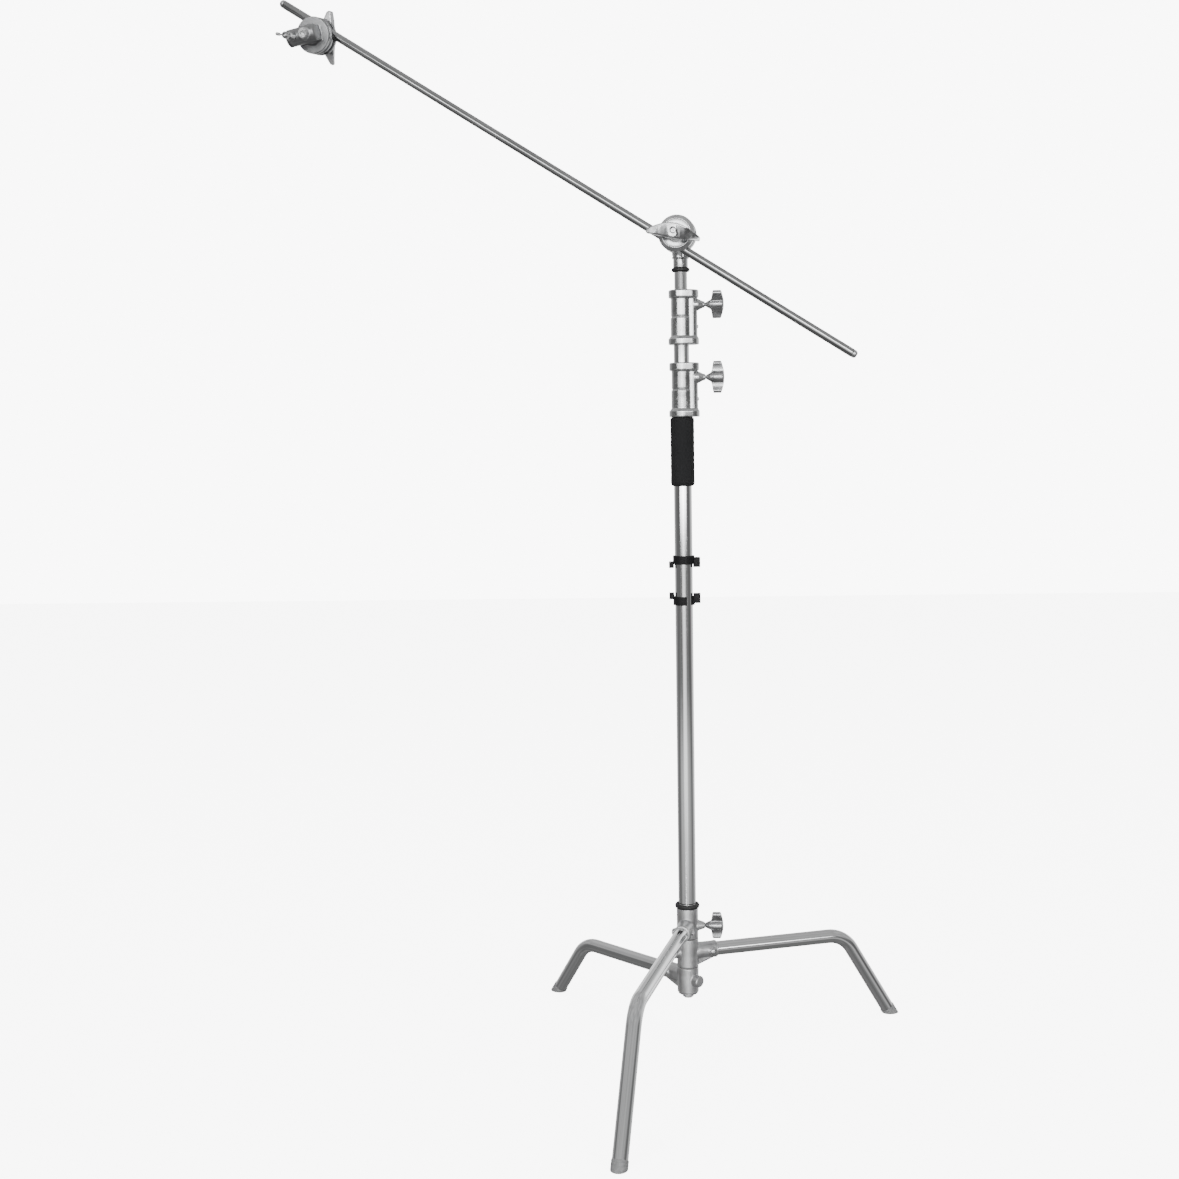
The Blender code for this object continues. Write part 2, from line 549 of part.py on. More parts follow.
def make_head(name, frame, jaw_turn, handle_turn, mount_turn, screw_turn):
    """A grip head. Its mount and its jaws each turn about the bolt."""
    mount_frame = empty(name + "_mount_frame", frame, rotation=(0, mount_turn, 0))
    make_mount(name, mount_frame, screw_turn)
    washer_y = PLATE_Y + PLATE_THICK + GAP
    inner_back = washer_y + WASHER_THICK + GAP
    inner_face = inner_back + JAW_THICK
    outer_face = inner_face + JAW_GAP
    outer_back = outer_face + JAW_THICK
    thrust_y = outer_back + GAP
    handle_y = thrust_y + 0.0020 + GAP
    reach = handle_y + 0.0220
    bolt = [(0, reach), (BOLT_R, reach), (BOLT_R, -0.0170), (0.0105, -0.0170)]
    bolt += [(0.0105, -0.0225), (0.0085, -0.0245), (0, -0.0245)]
    place(turned(name + "_bolt", bolt, STEEL, 20), mount_frame, (0, 0, 0), (90, 0, 0))
    washer = ring(name + "_friction_washer", 0.0300, BOLT_R + GAP, washer_y, washer_y + WASHER_THICK, RUBBER)
    place(washer, mount_frame, (0, 0, 0), (90, 0, 0))

    jaws = empty(name + "_jaws", frame, rotation=(0, jaw_turn, 0))
    jaw(name + "_inner_jaw", jaws, inner_face, 1)
    coil = []
    turns, points_per_turn = 3, 10
    for i in range(turns * points_per_turn + 1):
        angle = 2 * math.pi * i / points_per_turn
        rise = 0.0013 + (JAW_GAP - 0.0026) * i / (turns * points_per_turn)
        coil.append((0.0084 * math.cos(angle), 0.0084 * math.sin(angle), inner_face + rise))
    place(swept(name + "_spring", coil, 0.0009, STEEL, 6), jaws, (0, 0, 0), (90, 0, 0))
    jaw(name + "_outer_jaw", jaws, outer_face, -1)
    thrust = ring(name + "_thrust_washer", 0.0150, BOLT_R + GAP, thrust_y, thrust_y + 0.0020, STEEL)
    place(thrust, jaws, (0, 0, 0), (90, 0, 0))

    handle_axis = empty(name + "_handle_axis", frame, (0, -handle_y, 0), (90, 0, 0))
    boss = [(0, 0.0345), (0.0112, 0.0345), (0.0128, 0.0200), (0.0112, 0.0080), (0.0128, 0), (0, 0)]
    handle = turned(name + "_handle", boss, CAST, 20)
    wings = prism(name + "_handle_wings", lens(HANDLE_LENGTH, 0.029, 0.0055, 0.008), 0.0150, 0.0370, None, 0.0035)
    bore = hole(name + "_handle_bore", BOLT_R + GAP, -0.01, 0.0223)
    for piece in (handle, wings, bore):
        place(piece, handle_axis, (0, 0, 0), (0, 0, handle_turn))
    combine(handle, "UNION", wings)
    combine(handle, "DIFFERENCE", bore)
    return jaws, inner_face + JAW_GAP / 2


def make_arm_and_heads(root):
    near = empty("head_1_pan", root, (0, 0, HEAD_1_Z), (0, 0, HEAD_TURN))
    jaws, rod_y = make_head("head_1", near, ARM_PITCH, HANDLE_1_TURN, 0.0, 0.0)
    arm = empty("arm_slide", jaws, (0, -rod_y, -ROD_OFFSET))
    tube = ring("arm_tube", ROD_R, ROD_BORE_R, ARM_LEFT, ARM_RIGHT, CHROME, 0.0, 24)
    place(tube, arm, (0, 0, 0), (0, 90, 0))
    for name, x, turn in (("arm_left_tip", ARM_LEFT, -90), ("arm_right_tip", ARM_RIGHT, 90)):
        tip = [(0, 0.0090), (0.0044, 0.0090), (0.0068, 0.0066), (0.0078, 0.0030), (0.0078, GAP)]
        tip += [(ROD_BORE_R - GAP, GAP), (ROD_BORE_R - GAP, -0.0200), (0, -0.0200)]
        place(turned(name, tip, STEEL, 20), arm, (x, 0, 0), (0, turn, 0))
    roll = empty("head_2_roll", arm, (HEAD_2_X, 0, 0), (HEAD_2_ROLL, 0, 0))
    far = empty("head_2_frame", roll, (0, rod_y, ROD_OFFSET))
    make_head("head_2", far, 0.0, HANDLE_2_TURN, HEAD_2_SWIVEL, SCREW_2_TURN)


def make_stand():
    root = empty("stand_root", location=(COLUMN_X, COLUMN_Y, 0))
    make_base(root)
    make_column(root)
    make_risers(root)
    make_arm_and_heads(root)


make_stand()
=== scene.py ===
"""Looks for the c stand: turned, cast and swept pieces with procedural finishes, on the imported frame."""
import json
import math

import bmesh
import bpy
import numpy as np
from mathutils import Matrix, Vector


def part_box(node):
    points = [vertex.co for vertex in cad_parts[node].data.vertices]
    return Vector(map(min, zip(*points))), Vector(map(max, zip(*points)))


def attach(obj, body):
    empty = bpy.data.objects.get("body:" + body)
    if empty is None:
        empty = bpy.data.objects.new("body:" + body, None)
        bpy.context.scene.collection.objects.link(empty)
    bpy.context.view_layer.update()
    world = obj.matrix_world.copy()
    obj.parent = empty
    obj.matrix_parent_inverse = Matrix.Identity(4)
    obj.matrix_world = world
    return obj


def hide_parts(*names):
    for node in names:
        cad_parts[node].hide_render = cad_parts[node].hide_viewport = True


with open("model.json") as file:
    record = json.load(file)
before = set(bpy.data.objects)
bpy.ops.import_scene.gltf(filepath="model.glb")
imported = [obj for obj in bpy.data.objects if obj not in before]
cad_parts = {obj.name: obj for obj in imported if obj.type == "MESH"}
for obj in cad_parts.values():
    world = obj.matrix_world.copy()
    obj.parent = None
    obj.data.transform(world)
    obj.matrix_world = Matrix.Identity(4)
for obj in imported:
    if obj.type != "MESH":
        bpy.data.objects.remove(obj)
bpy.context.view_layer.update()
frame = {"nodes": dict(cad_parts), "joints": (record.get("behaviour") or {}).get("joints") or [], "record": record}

JOINTS = {joint["name"]: joint for joint in frame["joints"]}
MOUNTS = {mount["name"]: mount for mount in frame["record"]["mounts"]}
SLOTS = {part["node"]: part["material_slot"] for part in frame["record"]["subparts"]}
BODY_OF = {node: body for body, nodes in frame["record"]["behaviour"]["bodies"].items() for node in nodes}
UP = Vector((0, 0, 1))
FLIP = Matrix.Rotation(math.pi, 4, "X")
RIGHT = Vector((1, 0, 0))
AXIS = Vector(JOINTS["head_1_pan"]["pos_m"])
COLUMN = Matrix.Translation((AXIS.x, AXIS.y, 0))

# Sizes that several pieces share.
GAP = 0.0003                    # clearance between pieces that touch
LEG_R = 0.0140
LEG_HOLE_R = LEG_R + GAP
LEG_BEND_R = 0.060
LEG_START = 0.030               # where a leg tube begins in its socket
TUBE_SHORT = 0.0120             # a leg tube stops this far up its slope from the floor
SOCKET_R = 0.0169               # boss that holds a leg tube
HUB_R = 0.0215
SPINDLE_R = 0.0175
HUB_BORE_R = SPINDLE_R + GAP
SCREW_HOLE_R = 0.0044
JAW_R = 0.0350
ROD_R = 0.0080                  # arm and stud
ROD_BORE_R = 0.0062
BOLT_HOLE_R = 0.0062
WING_WAIST = 0.0030             # how far a knob's wings draw in between hub and tip
WING_LEAN = 0.55                # slope of a T-handle's face below its crest

# Finish of the mesh work.
ROUND = 72                      # sides of a large turned piece
SMALL_ROUND = 48
EDGE = 0.0004                   # usual rounded edge
SHARP_ANGLE = math.radians(38)


# ---------------------------------------------------------------- frames and sizes read from the CAD

def raised(height):
    """A move along local Z."""
    return Matrix.Translation((0, 0, height))


def basis(origin, z, x):
    """Matrix at origin, with local Z along z and local X as near to x as it can be."""
    z = Vector(z).normalized()
    y = z.cross(Vector(x)).normalized()
    matrix = Matrix((y.cross(z), y, z)).transposed().to_4x4()
    matrix.translation = origin
    return matrix


def joint_axis(name):
    return Vector(JOINTS[name]["axis"]).normalized()


def joint_place(name):
    return Vector(JOINTS[name]["pos_m"])


def cad_points(node):
    return np.array([vertex.co for vertex in frame["nodes"][node].data.vertices], float)


def local_points(node, matrix):
    """A CAD node's points in a frame."""
    return (cad_points(node) - np.array(matrix.translation)) @ np.array(matrix.to_3x3())


def wing_basis(node, joint):
    """A T-handle's frame: Z out along its screw, X along its wings, and the wings' tips dropped to -Y."""
    matrix = basis(joint_place(joint), joint_axis(joint), UP if abs(joint_axis(joint).z) < 0.9 else RIGHT)
    local = cad_points(node) @ np.array(matrix.to_3x3())
    local -= np.array(matrix.translation) @ np.array(matrix.to_3x3())
    _, directions = np.linalg.eigh(np.cov(local[:, 0], local[:, 1]))
    long_side = Vector((*directions[:, 1], 0))
    matrix = basis(matrix.translation, joint_axis(joint), matrix.to_3x3() @ long_side)
    local = local_points(node, matrix)
    tips = local[np.abs(local[:, 0]) > 0.85 * np.abs(local[:, 0]).max()]
    if tips[:, 1].mean() > 0:
        matrix = matrix @ Matrix.Rotation(math.pi, 4, "Z")
    return matrix


def height_span(node):
    """Lowest and highest point of a CAD node."""
    low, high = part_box(node)
    return low.z, high.z


def tube_radius(node):
    low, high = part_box(node)
    return (high.x - low.x) / 2


def leg_frame(side):
    """The leg's frame, with X out along it, its level height, its foot radius and where its bend starts."""
    reach = Vector(MOUNTS[side + "_foot"]["pos_m"]) - Vector((AXIS.x, AXIS.y, 0))
    low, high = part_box(side + "_leg_bolt")
    level = (low.z + high.z) / 2
    matrix = COLUMN @ Matrix.Rotation(math.atan2(reach.y, reach.x), 4, "Z")
    points = cad_points(side + "_leg_tube") - np.array((AXIS.x, AXIS.y, 0))
    top = points[points[:, 2] > points[:, 2].max() - 0.00005]
    return matrix, level, reach.length, float(np.hypot(top[:, 0], top[:, 1]).max())


# ---------------------------------------------------------------- mesh tools

def new_object(name, mesh, matrix=None):
    thing = bpy.data.objects.new(name, mesh)
    bpy.context.scene.collection.objects.link(thing)
    thing.matrix_world = matrix or Matrix.Identity(4)
    return thing


def from_bmesh(work, matrix=None):
    bmesh.ops.recalc_face_normals(work, faces=work.faces)
    mesh = bpy.data.meshes.new("piece")
    work.to_mesh(mesh)
    work.free()
    mesh.shade_smooth()
    mesh.set_sharp_from_angle(angle=SHARP_ANGLE)
    return new_object("piece", mesh, matrix)


def fillet(points, radius=EDGE, closed=True, steps=3):
    """Round the corners of a line of 2D points. An open line keeps its two ends."""
    result = []
    count = len(points)
    for i, corner in enumerate(points):
        if not closed and i in (0, count - 1):
            result.append(corner)
            continue
        here = Vector(corner)
        back, ahead = Vector(points[i - 1]) - here, Vector(points[(i + 1) % count]) - here
        if back.length < 1e-7 or ahead.length < 1e-7 or back.angle(-ahead) < math.radians(14):
            result.append(corner)
            continue
        reach = min(radius, 0.45 * back.length, 0.45 * ahead.length)
        start, end = here + back.normalized() * reach, here + ahead.normalized() * reach
        for step in range(steps + 1):
            t = step / steps
            result.append(tuple(start * (1 - t) ** 2 + here * 2 * t * (1 - t) + end * t * t))
    return result


def lathe(profile, matrix=None, steps=ROUND, edge=EDGE, flutes=0, flute_depth=0.0, flute_span=None):
    """Turn (radius, z) points about local Z. flutes cut that many hollows round the widest part."""
    closed = profile[0][0] > 0
    line = fillet(profile, edge, closed) if edge else profile
    work = bmesh.new()
    rings = []
    for r, z in line:
        if r < 1e-7:
            rings.append([work.verts.new((0, 0, z))])
            continue
        loop = []
        for i in range(steps):
            angle = 2 * math.pi * i / steps
            depth = 0.0
            if flutes and flute_span[0] <= z <= flute_span[1] and r > flute_span[2]:
                depth = flute_depth * (0.5 - 0.5 * math.cos(flutes * angle))
            loop.append(work.verts.new(((r - depth) * math.cos(angle), (r - depth) * math.sin(angle), z)))
        rings.append(loop)
    pairs = list(zip(rings, rings[1:])) + ([(rings[-1], rings[0])] if closed else [])
    for one, two in pairs:
        for i in range(steps):
            j = (i + 1) % steps
            if len(one) == 1 and len(two) > 1:
                work.faces.new((one[0], two[i], two[j]))
            elif len(two) == 1 and len(one) > 1:
                work.faces.new((one[i], two[0], one[j]))
            elif len(one) > 1:
                work.faces.new((one[i], two[i], two[j], one[j]))
    return from_bmesh(work, matrix)


def skin(work, rings):
    """Join rings of as many points each into one closed surface with flat ends."""
    for one, two in zip(rings, rings[1:]):
        for i in range(len(one)):
            j = (i + 1) % len(one)
            work.faces.new((one[i], one[j], two[j], two[i]))
    work.faces.new(rings[0])
    work.faces.new(rings[-1])


def arc(radius, start, end, steps, centre=(0.0, 0.0)):
    angles = [math.radians(start + (end - start) * i / steps) for i in range(steps + 1)]
    return [(centre[0] + radius * math.cos(a), centre[1] + radius * math.sin(a)) for a in angles]


def ring(outer, inner, low, high):
    """Section of a plain ring or tube, for lathe()."""
    return [(outer, high), (outer, low), (inner, low), (inner, high)]


def slab(outline, bottom, top, edge, matrix=None):
    """Extrude a closed outline along local Z, with rounded rims."""
    count = len(outline)
    normals = []
    for i in range(count):
        along = Vector(outline[(i + 1) % count]) - Vector(outline[i - 1])
        normals.append(Vector((along.y, -along.x)).normalized())
    work = bmesh.new()
    levels = [(edge * (1 - math.sin(a)), bottom + edge * (1 - math.cos(a)))
              for a in (math.radians(30 * i) for i in range(4))]
    levels += [(inset, bottom + top - z) for inset, z in reversed(levels)]
    rings = [[work.verts.new((*(Vector(p) - n * inset), z)) for p, n in zip(outline, normals)]
             for inset, z in levels]
    skin(work, rings)
    return from_bmesh(work, matrix)


def sweep(points, radius, sides, matrix):
    """Round tube along points, with frames carried along so that it doesn't twist."""
    points = [Vector(p) for p in points]
    work = bmesh.new()
    side = None
    rings = []
    for i, here in enumerate(points):
        ahead = (points[min(i + 1, len(points) - 1)] - points[max(i - 1, 0)]).normalized()
        if side is None:
            side = ahead.orthogonal().normalized()
        side = (side - ahead * side.dot(ahead)).normalized()
        other = ahead.cross(side)
        loop = []
        for k in range(sides):
            angle = 2 * math.pi * k / sides
            loop.append(work.verts.new(here + (side * math.cos(angle) + other * math.sin(angle)) * radius))
        rings.append(loop)
    skin(work, rings)
    return from_bmesh(work, matrix)


def block(low, high, edge, matrix=None):
    outline = fillet([(low[0], low[1]), (high[0], low[1]), (high[0], high[1]), (low[0], high[1])], edge)
    return slab(outline, low[2], high[2], edge * 0.8, matrix)


def baked(thing):
    """Swap an object's mesh for the one that its modifiers make."""
    bpy.context.view_layer.update()
    graph = bpy.context.evaluated_depsgraph_get()
    mesh = bpy.data.meshes.new_from_object(thing.evaluated_get(graph))
    thing.modifiers.clear()
    thing.data = mesh
    return thing


def to_frame_of(thing, tool):
    """The tool's matrix as seen from the piece, exact where the two share a frame."""
    matrix = thing.matrix_world.inverted() @ tool.matrix_world
    identity = Matrix.Identity(4)
    spread = max(abs(a - b) for one, two in zip(matrix, identity) for a, b in zip(one, two))
    return identity if spread < 1e-6 else matrix


def cut(thing, *tools, operation="DIFFERENCE"):
    """Take the tools out of a piece, working in the piece's own frame."""
    home = thing.matrix_world.copy()
    for tool in tools:
        tool.matrix_world = to_frame_of(thing, tool)
        step = thing.modifiers.new("step", "BOOLEAN")
        step.operation = operation
        step.object = tool
    thing.matrix_world = Matrix.Identity(4)
    baked(thing)
    thing.matrix_world = home
    for tool in tools:
        bpy.data.objects.remove(tool, do_unlink=True)
    return thing


def fuse(thing, *others):
    """Put other closed pieces into this one's mesh. cast() then melts them together."""
    work = bmesh.new()
    work.from_mesh(thing.data)
    for other in others:
        other.data.transform(to_frame_of(thing, other))
        work.from_mesh(other.data)
        bpy.data.objects.remove(other, do_unlink=True)
    work.to_mesh(thing.data)
    work.free()
    return thing


def cast(thing, voxel, smoothing, keep):
    """Turn joined solids into one casting with soft fillets, and keep that share of its faces."""
    remesh = thing.modifiers.new("remesh", "REMESH")
    remesh.mode = "VOXEL"
    remesh.voxel_size = voxel
    smooth = thing.modifiers.new("smooth", "SMOOTH")
    smooth.factor = 0.5
    smooth.iterations = smoothing
    thin = thing.modifiers.new("thin", "DECIMATE")
    thin.ratio = keep
    baked(thing)
    thing.data.shade_smooth()
    return thing


def crisp(thing):
    """Mark the sharp edges again after a late cut."""
    thing.data.shade_smooth()
    thing.data.set_sharp_from_angle(angle=SHARP_ANGLE)
    return thing


def settle(thing):
    """Bake a piece's place into its mesh."""
    thing.data.transform(thing.matrix_world)
    thing.matrix_world = Matrix.Identity(4)
    return thing


def trim_at_floor(thing):
    """Cut a piece off level with the floor and close the cut."""
    settle(thing)
    work = bmesh.new()
    work.from_mesh(thing.data)
    everything = work.verts[:] + work.edges[:] + work.faces[:]
    bmesh.ops.bisect_plane(work, geom=everything, plane_co=(0, 0, 0), plane_no=UP, clear_inner=True)
    bmesh.ops.holes_fill(work, edges=[edge for edge in work.edges if edge.is_boundary])
    bmesh.ops.recalc_face_normals(work, faces=work.faces)
    work.to_mesh(thing.data)
    work.free()
    return thing


def turn_to(axis):
    """Rotation that lays local Z along +X, -X, +Y or -Y."""
    return {"+x": Matrix.Rotation(math.pi / 2, 4, "Y"), "-x": Matrix.Rotation(-math.pi / 2, 4, "Y"),
            "+y": Matrix.Rotation(-math.pi / 2, 4, "X"), "-y": Matrix.Rotation(math.pi / 2, 4, "X")}[axis]


def drill(matrix, radius, bottom, top, chamfer=0.0):
    """Cutter for a round hole, wider at its mouth (top) if it is chamfered."""
    profile = [(0, top + 0.01), (radius + chamfer, top + 0.01), (radius + chamfer, top)]
    profile += [(radius, top - chamfer), (radius, bottom), (0, bottom)]
    if not chamfer:
        profile = [(0, top), (radius, top), (radius, bottom), (0, bottom)]
    return lathe(profile, matrix, SMALL_ROUND, 0)


def hexagon_key(radius, bottom, top, matrix):
    """Cutter for a hexagon socket."""
    return slab(arc(radius, 0, 300, 5), bottom, top, 0.0001, matrix)


# ---------------------------------------------------------------- finishes

class NodeTree:
    """Short ways to add, link and compute with shader nodes."""

    def __init__(self, tree):
        self.tree = tree

    def add(self, kind, **values):
        node = self.tree.nodes.new(kind)
        for key, value in values.items():
            setattr(node, key, value)
        return node

    def link(self, source, target):
        self.tree.links.new(source, target)

    def calc(self, operation, *values):
        """One math node. Each value is a number or another node's output."""
        node = self.add("ShaderNodeMath", operation=operation)
        for slot, value in zip(node.inputs, values):
            if isinstance(value, (int, float)):
                slot.default_value = value
            else:
                self.link(value, slot)
        return node.outputs[0]

    def span(self, value, low, high, start=0.0, end=1.0, shape="LINEAR"):
        """Map start..end of a value to low..high."""
        node = self.add("ShaderNodeMapRange", interpolation_type=shape)
        for key, number in (("From Min", start), ("From Max", end), ("To Min", low), ("To Max", high)):
            node.inputs[key].default_value = number
        self.link(value, node.inputs["Value"])
        return node.outputs["Result"]

    def step(self, value, start, end, low, high):
        """Low before start and high past end, with a smooth change between them."""
        return self.span(value, low, high, start, end, "SMOOTHSTEP")

    def split(self, vector):
        node = self.add("ShaderNodeSeparateXYZ")
        self.link(vector, node.inputs[0])
        return node.outputs


class Finish(NodeTree):
    """One Principled material, built from procedural nodes in object space."""

    def __init__(self, name, colour, metallic, roughness):
        self.material = bpy.data.materials.new(name)
        self.material.use_nodes = True
        super().__init__(self.material.node_tree)
        self.shader = self.tree.nodes["Principled BSDF"]
        self.shader.inputs["Base Color"].default_value = (*colour, 1)
        self.shader.inputs["Metallic"].default_value = metallic
        self.shader.inputs["Roughness"].default_value = roughness
        self.colour = colour
        self.place = self.add("ShaderNodeTexCoord").outputs["Object"]
        self.normal = None

    def noise(self, scale, detail=3.0, roughness=0.55, stretch=(1, 1, 1)):
        mapping = self.add("ShaderNodeMapping")
        mapping.inputs["Scale"].default_value = stretch
        self.link(self.place, mapping.inputs["Vector"])
        node = self.add("ShaderNodeTexNoise")
        node.inputs["Scale"].default_value = scale
        node.inputs["Detail"].default_value = detail
        node.inputs["Roughness"].default_value = roughness
        self.link(mapping.outputs["Vector"], node.inputs["Vector"])
        return node.outputs["Fac"]

    def cells(self, scale, feature="F1"):
        node = self.add("ShaderNodeTexVoronoi", feature=feature)
        node.inputs["Scale"].default_value = scale
        self.link(self.place, node.inputs["Vector"])
        return node.outputs["Distance"]

    def both(self, one, two):
        return self.calc("ADD", one, two)

    def edges(self, start=0.52, end=0.60):
        """1 on worn outer edges, 0 elsewhere."""
        return self.span(self.add("ShaderNodeNewGeometry").outputs["Pointiness"], 0, 1, start, end)

    def tint(self, value, dark, light):
        """Base colour between two shades of the finish's own colour."""
        node = self.add("ShaderNodeMix", data_type="RGBA")
        self.link(value, node.inputs["Factor"])
        node.inputs[6].default_value = (*[c * dark for c in self.colour], 1)
        node.inputs[7].default_value = (*[min(1, c * light) for c in self.colour], 1)
        self.link(node.outputs[2], self.shader.inputs["Base Color"])

    def rough(self, value, low, high, start=0.3, end=0.7):
        self.link(self.span(value, low, high, start, end), self.shader.inputs["Roughness"])

    def bump(self, value, distance, strength=1.0):
        node = self.add("ShaderNodeBump")
        node.inputs["Distance"].default_value = distance
        node.inputs["Strength"].default_value = strength
        self.link(value, node.inputs["Height"])
        if self.normal:
            self.link(self.normal, node.inputs["Normal"])
        self.normal = node.outputs["Normal"]
        self.link(self.normal, self.shader.inputs["Normal"])


def tube_finish(name, painted_shade_span=None):
    """Polished chrome on drawn tube: hair lines along the tube, faint smudges and slide marks round it.

    An optional pair of distances along the tube's own Z paints shade on it: the colour is darker before the first
    and plain beyond the second.
    """
    look = Finish(name, (0.66, 0.665, 0.67), 1.0, 0.13)
    lines = look.noise(900, 2, stretch=(1, 1, 0.006))
    smudge = look.noise(14, 5, 0.6, stretch=(1, 1, 0.5))
    marks = look.noise(420, 2, stretch=(0.05, 0.05, 1))
    look.rough(look.both(smudge, look.span(marks, -0.1, 0.12, 0.6, 0.75)), 0.09, 0.18)
    if painted_shade_span:
        # Painted shade along the tube: darker before the first distance and plain beyond the second, added to the
        # random smudges.
        along = look.split(look.place)["Z"]
        look.tint(look.both(smudge, look.span(along, -0.4, 0.4, *painted_shade_span)), 0.42, 1.08)
    else:
        look.tint(smudge, 0.86, 1.06)
    look.bump(lines, 0.00001, 0.45)
    look.bump(look.noise(40, 2, stretch=(1, 1, 0.1)), 0.00006, 0.35)
    return look.material


def cast_finish(name, shade, shine):
    """Plated die casting, polished but not quite even, brighter on its worn edges."""
    look = Finish(name, (shade, shade + 0.005, shade + 0.01), 1.0, shine[0])
    cloud = look.noise(55, 5, 0.6)
    grain = look.noise(900, 3)
    look.tint(look.both(look.span(cloud, 0.0, 0.8, 0.3, 0.7), look.edges()), 0.80, 1.12)
    look.rough(look.both(cloud, look.span(look.noise(240, 4, 0.7), -0.05, 0.25, 0.55, 0.7)), *shine)
    look.bump(grain, 0.00002, 0.4)
    look.bump(look.noise(120, 3), 0.00005, 0.3)
    return look.material


def handle_finish():
    """Tumbled handle casting: a slight orange peel, darker in its hollows and rubbed on its edges."""
    look = Finish("rubbed_casting", (0.50, 0.505, 0.51), 1.0, 0.24)
    cloud = look.noise(80, 5, 0.6)
    look.tint(look.both(look.span(cloud, 0.0, 0.6, 0.3, 0.7), look.edges(0.51, 0.57)), 0.68, 1.25)
    look.rough(cloud, 0.20, 0.42)
    look.bump(look.noise(700, 3), 0.00004, 0.6)
    look.bump(look.noise(160, 4, 0.6), 0.00010, 0.35)
    return look.material


def steel_finish():
    """Plated turned steel with fine rings round each piece."""
    look = Finish("turned_steel", (0.56, 0.565, 0.57), 1.0, 0.26)
    rings = look.noise(1600, 2, stretch=(0.02, 0.02, 1))
    cloud = look.noise(90, 4)
    look.tint(look.both(look.span(cloud, 0.0, 0.7, 0.3, 0.7), look.edges()), 0.80, 1.15)
    look.rough(look.calc("MULTIPLY", rings, cloud), 0.16, 0.36, 0.1, 0.4)
    look.bump(rings, 0.00002, 0.5)
    return look.material


def rubber_finish():
    look = Finish("black_rubber", (0.009, 0.009, 0.0095), 0.0, 0.6)
    cloud = look.noise(130, 4)
    look.tint(cloud, 0.6, 1.9)
    look.rough(cloud, 0.45, 0.75)
    look.bump(look.noise(1400, 3), 0.00004, 0.6)
    return look.material


def foam_finish():
    """Closed-cell foam: fine pores, with lighter dust in places."""
    look = Finish("black_foam", (0.0075, 0.0075, 0.008), 0.0, 0.9)
    pores = look.cells(900)
    cloud = look.noise(35, 5, 0.6)
    look.tint(look.both(cloud, look.span(pores, -0.25, 0.35, 0.0, 0.7)), 0.55, 2.2)
    look.rough(cloud, 0.78, 0.98)
    look.bump(pores, 0.00022, 0.8)
    look.bump(look.noise(260, 4, 0.7), 0.00025, 0.5)
    look.shader.inputs["Specular IOR Level"].default_value = 0.2
    return look.material


def plastic_finish():
    """Moulded black nylon with spark-eroded grain."""
    look = Finish("black_nylon", (0.007, 0.007, 0.0075), 0.0, 0.45)
    look.shader.inputs["Specular IOR Level"].default_value = 0.12
    look.tint(look.both(look.noise(60, 4), look.edges(0.50, 0.62)), 0.7, 1.9)
    look.rough(look.noise(300, 4), 0.34, 0.58)
    look.bump(look.cells(1500), 0.00005, 0.5)
    return look.material


def foot_finish():
    """Grey moulded caps, scuffed and dirty in patches."""
    look = Finish("grey_foot", (0.21, 0.212, 0.215), 0.0, 0.5)
    scuff = look.noise(70, 6, 0.7)
    fine = look.noise(500, 4)
    dirt = look.both(look.span(scuff, 0.0, 0.9, 0.3, 0.75), look.span(fine, -0.1, 0.2, 0.3, 0.7))
    look.tint(dirt, 0.50, 1.25)
    look.rough(scuff, 0.38, 0.68)
    look.bump(fine, 0.00006, 0.6)
    look.bump(scuff, 0.00015, 0.4)
    return look.material


def nylon_finish():
    look = Finish("grey_nylon", (0.20, 0.20, 0.20), 0.0, 0.5)
    look.tint(look.noise(90, 4), 0.82, 1.08)
    look.rough(look.noise(400, 3), 0.40, 0.60)
    look.bump(look.noise(700, 3), 0.00004, 0.5)
    return look.material


FINISHES = {
    "polished_tube": tube_finish("chrome_tube"),
    # The arm's tube carries painted shade on the far head's side, fading out between 0.55 and 0.88 m along it.
    "tarnished_tube": tube_finish("arm_chrome", (0.55, 0.88)),
    "casting": cast_finish("plated_casting", 0.57, (0.15, 0.32)),
    "satin_casting": cast_finish("satin_casting", 0.60, (0.33, 0.52)),
    # Painted shade: a darker copy of the plated casting, used only for the far head.
    "dull_casting": cast_finish("dull_casting", 0.33, (0.34, 0.50)),
    "handle_casting": handle_finish(),
    "steel": steel_finish(),
    "rubber": rubber_finish(),
    "foam": foam_finish(),
    "black_plastic": plastic_finish(),
    "foot_plastic": foot_finish(),
    "nylon": nylon_finish(),
}


LAID_FINISHES = ("polished_tube", "steel")      # these run along a piece's own Z, so they need its own frame


def extra(thing, node, suffix, slot=None, finish=None):
    """A finished piece, named after a node, which moves with that node's body."""
    slot = slot or SLOTS[node]
    if slot not in LAID_FINISHES:
        settle(thing)
    thing.name = node + suffix
    thing.data.materials.clear()
    thing.data.materials.append(FINISHES[finish or slot])
    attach(thing, BODY_OF[node])


def stand_in(thing, node, finish=None):
    """Put a piece in place of a CAD node: same body, same material slot, fine finish."""
    extra(thing, node, "_fine", None, finish)
    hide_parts(node)


def turned(node, profile, edge=EDGE, steps=ROUND):
    """Turn a piece about the column and put it in place of its node."""
    stand_in(lathe(profile, COLUMN, steps, edge), node)


# ---------------------------------------------------------------- shapes shared by several pieces

def wing_half_width(t, width, tip, bow):
    """Half the wings' width at t, from -1 to 1 along them. Straight wings have a waist, bowed ones don't."""
    if bow:
        return tip + (width / 2 - tip) * math.cos(math.pi * t / 2)
    return tip + (width / 2 - tip) * (1 - abs(t)) ** 2 - WING_WAIST * math.sin(math.pi * abs(t))


